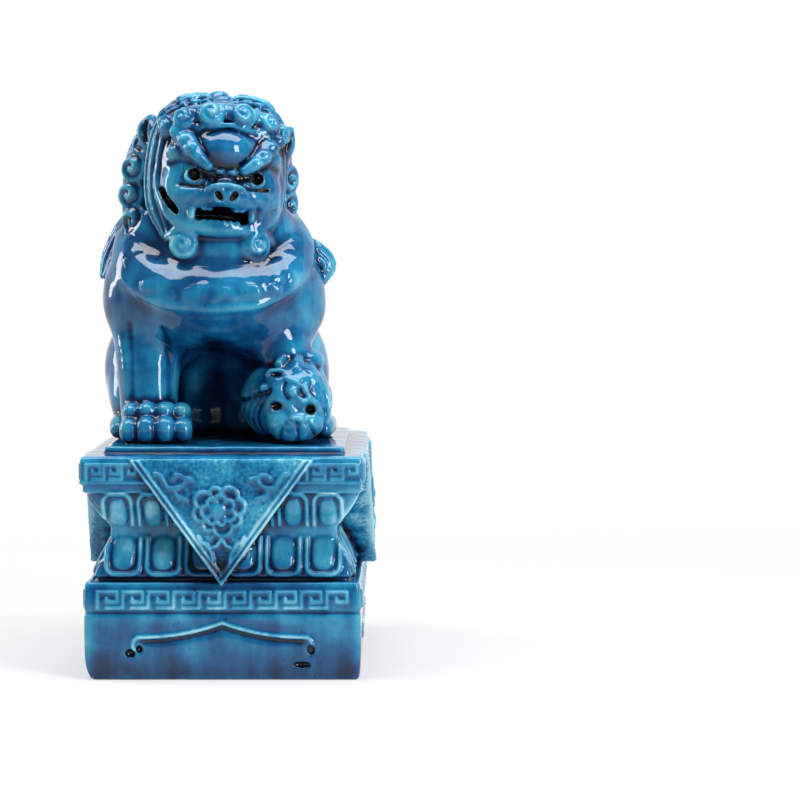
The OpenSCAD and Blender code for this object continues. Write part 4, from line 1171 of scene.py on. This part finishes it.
for x in (-22, -11, 0, 11, 22):
    drop = -36 if x % 2 else -42
    spread = abs(x) * 0.1
    fall = [(x * 0.8, 26 - spread, 6, 8), (x, 31 - spread, -10, 8.5), (x * 1.05, 33, -26, 8),
            (x * 1.1, 35, drop, 3)]
    nape.append(lock(fall, (x * 0.02, 1, 0.1), 4, 0.42, 0.9))
    nape.append(curl((x * 1.08, 35.5, drop + 5), (x * 0.02, 1, 0), 6, 0.6, 1 if x > 0 else -1))
lion.add("nape_mane", posed(nape), 1, 1.2)

# Beard.
# A tight curl of beard under each corner of the jaw, hung from a short roll of clay that is luted to the
# jaw's edge.
beard = [curl((side * 16, -29.4 - side, -26 + 0.8 * side), (side * 0.35, -0.93, 0.05), 6.6, 0.6, side, 0.07)
         for side in both]
jaw_tuft = [(12, -30, -22, 2.2), (18, -27, -21, 2.6), (22, -23, -24, 2)]
beard += [roll(sided(side, jaw_tuft), 3) for side in both]
lion.add("beard_tufts", posed(beard), 1.5, 2.0)

# Shoulder tufts.
# Leaf-shaped locks of the mane that lie over the shoulders, the left one ending in two curls.
right_lock = [(-34, 3, 104, 5), (-41, 0, 94, 7), (-46.6, -2, 83, 6.4), (-50.4, -3, 74, 2.8)]
left_lock = [(35.4, -2, 89, 3.6), (43.6, -4, 85.6, 5), (50.5, -3, 79, 5), (49, -5, 72, 3)]
lion.add("shoulder_tufts", [
    lock(right_lock, (-0.75, -0.6, 0.25), 3, 0.5, 0.6), lock(left_lock, (0.6, -0.75, 0.25), 3, 0.6, 0.6),
    curl((50, -2, 77), (0.6, -0.75, 0.2), 5.4), curl((45.4, -5, 80.5), (0.5, -0.85, 0.2), 4.6),
], 1, 1.2)

# Tool marks.
# Lines drawn in the soft clay with a modelling tool: folds down the right foreleg, creases about the eyes
# and cheeks, and combed hair over the crown.
for x in (-36, -20):
    lion.scribe(tool_line([(x, -24, 52), (x + 1, -26, 36), (x + 1, -27, 20)], 8.0), 1.8, 0.7)
for side in both:
    under_eye = sided(side, [(9.6, -37.6, -0.8, 0.4), (15, -34.6, -1.8, 0.5), (22, -27.4, -0.8, 0.4)])
    # Painted shade in the crease under each eye.
    lion.carve(posed([roll(under_eye, 3)]), 1.6, 0.5, 1.2)
    by_nose = sided(side, [(10.4, -38, -3), (13.6, -36, -7), (15, -34, -10)])
    by_brow = sided(side, [(16, -34, 8), (19.6, -30, 9), (24, -24, 7.4)])
    for crease in posed([tool_line(by_nose, 4.0), tool_line(by_brow, 4.0)]):
        lion.scribe(crease, 1.3, 0.6)
for i in range(-4, 5):
    comb = [(5.4 * i, -20, 34 - 0.4 * abs(i)), (5.8 * i + 1, -13, 38.4 - 0.7 * abs(i)),
            (6.4 * i, -4, 40 - 1.2 * abs(i))]
    lion.scribe(posed([tool_line(comb)])[0], 1.3, 1.2)

# Glazing the lion.
# The skin is smooth and the hair a little rough under the glaze. The colour is made darker over the face,
# with painted shade over the belly under the collar, and lighter with painted light on the left shoulder, the
# throat and the right foreleg. Then every piece is cast.
fur_words = ("curl", "mane", "tuft", "tail", "cub", "brow")
fur_pieces = [name for name in lion.pieces if any(word in name for word in fur_words)]
fur_index = [lion.pieces[name][0] for name in fur_pieces]
fur = softened(np.isin(lion.owner, fur_index).astype(np.float32), 2.0)
lattice = lion.points(lion.all)
lion.whole += 0.1 * uneven(lattice, 24) + 0.16 * fur * uneven(lattice, 6.5)
lion.settle(lattice[2])
x, y, z = lattice
# Painted shade under the collar, painted light on the left shoulder and the throat, and a darker face.
belly, shoulder = (-0.1, 2, 24, 47, 12, 0), (0.1, 40, 14, 66, 14, far * 9)
face_mask, throat = (-0.07, 9, 24, 106, 16, -16), (0.06, 2, 20, 84, 9, -25)
for change, at_x, wide, at_z, tall, rear_y in (belly, shoulder, face_mask, throat):
    lion.thin_and_shade += change * bell(x - at_x, wide) * bell(z - at_z, tall) * (y < rear_y)
# Painted light on the right foreleg.
lion.thin_and_shade += 0.06 * bell(z - 24, 16) * (x < -8)
lion_glaze = new_glaze("lion_glaze", -0.02)
fur_glaze = new_glaze("fur_glaze", 0.0)
for name in lion.pieces:
    piece = lion.cast(name)
    piece.data.materials.append(fur_glaze if name in fur_pieces else lion_glaze)
    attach(piece, "root")
    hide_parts(name)

# Studio.
# A pale floor that sweeps up behind the statue, soft boxes above and at both sides, and the camera where the
# photograph was taken from.
scene = bpy.context.scene
scene.view_settings.view_transform = "Standard"
sweep_half, sweep_front, sweep_back, sweep_bow, sweep_top = 30.0, -30.0, 2.4, 1.4, 8.0
quarter_turn = np.linspace(0, np.pi / 2, 13)
profile = [(sweep_front, 0.0)]
profile += [(sweep_back + sweep_bow * np.sin(a), sweep_bow * (1 - np.cos(a))) for a in quarter_turn]
profile += [(sweep_back + sweep_bow, sweep_top)]
sweep_points = [(x, y, z) for y, z in profile for x in (-sweep_half, sweep_half)]
sweep_faces = [(2 * i, 2 * i + 1, 2 * i + 3, 2 * i + 2) for i in range(len(profile) - 1)]
sweep_mesh = bpy.data.meshes.new("sweep")
sweep_mesh.from_pydata(sweep_points, [], sweep_faces)
sweep_mesh.polygons.foreach_set("use_smooth", [True] * len(sweep_faces))
sweep = bpy.data.objects.new("sweep", sweep_mesh)
scene.collection.objects.link(sweep)
sweep_paint = bpy.data.materials.new("sweep_paint")
sweep_paint.use_nodes = True
paint, paint_links = sweep_paint.node_tree.nodes, sweep_paint.node_tree.links
paint["Principled BSDF"].inputs["Base Color"].default_value = (0.66, 0.66, 0.66, 1)
paint["Principled BSDF"].inputs["Roughness"].default_value = 0.8


def paint_maths(kind, a, b):
    node = paint.new("ShaderNodeMath")
    node.operation = kind
    node.use_clamp = True
    paint_links.new(a, node.inputs[0])
    paint_links.new(b, node.inputs[1])
    return node.outputs[0]


seen = paint.new("ShaderNodeLightPath")
watched = seen.outputs["Is Camera Ray"]
for kind in ("Is Glossy Ray", "Is Transmission Ray"):
    watched = paint_maths("ADD", watched, seen.outputs[kind])
place = paint.new("ShaderNodeNewGeometry")
depth = paint.new("ShaderNodeSeparateXYZ")
paint_links.new(place.outputs["Position"], depth.inputs[0])
glow = paint.new("ShaderNodeMapRange")
for title, value in (("From Min", -0.2), ("From Max", 0.5), ("To Min", 0.3)):
    glow.inputs[title].default_value = value
paint_links.new(depth.outputs["Y"], glow.inputs["Value"])
share = paint_maths("MULTIPLY", watched, glow.outputs["Result"])
white = paint.new("ShaderNodeEmission")
mix = paint.new("ShaderNodeMixShader")
paint_links.new(share, mix.inputs[0])
paint_links.new(paint["Principled BSDF"].outputs[0], mix.inputs[1])
paint_links.new(white.outputs[0], mix.inputs[2])
paint_links.new(mix.outputs[0], paint["Material Output"].inputs["Surface"])
sweep_mesh.materials.append(sweep_paint)

world = bpy.data.worlds.new("studio")
scene.world = world
world.use_nodes = True
world.node_tree.nodes["Background"].inputs["Color"].default_value = (1, 1, 1, 1)
world.node_tree.nodes["Background"].inputs["Strength"].default_value = 0.15


statue_middle = Vector((0, 0, 0.14))


def soft_box(name, at, size, radiance):
    """A soft box aimed at the statue, as bright as its white front looks."""
    lamp = bpy.data.lights.new(name, "AREA")
    lamp.shape = "RECTANGLE"
    lamp.size, lamp.size_y = size
    lamp.energy = radiance * np.pi * size[0] * size[1]
    box = bpy.data.objects.new(name, lamp)
    box.location = at
    box.rotation_euler = (statue_middle - Vector(at)).to_track_quat("-Z", "Y").to_euler()
    scene.collection.objects.link(box)


soft_box("top_box", (0.0, -0.15, 1.2), (1.6, 0.6), 7.6)
soft_box("right_box", (0.9, -0.85, 0.5), (0.3, 0.8), 16)
soft_box("left_box", (-1.15, 0.35, 0.5), (0.26, 0.8), 9)

camera_dip = 3.95
eye = bpy.data.cameras.new("photo_camera")
eye.lens = 104.2
eye.sensor_width = 36
camera = bpy.data.objects.new("photo_camera", eye)
camera.location = (0.076, -1.05, 0.188)
camera.rotation_euler = (np.radians(90 - camera_dip), 0, 0)
scene.collection.objects.link(camera)
scene.camera = camera
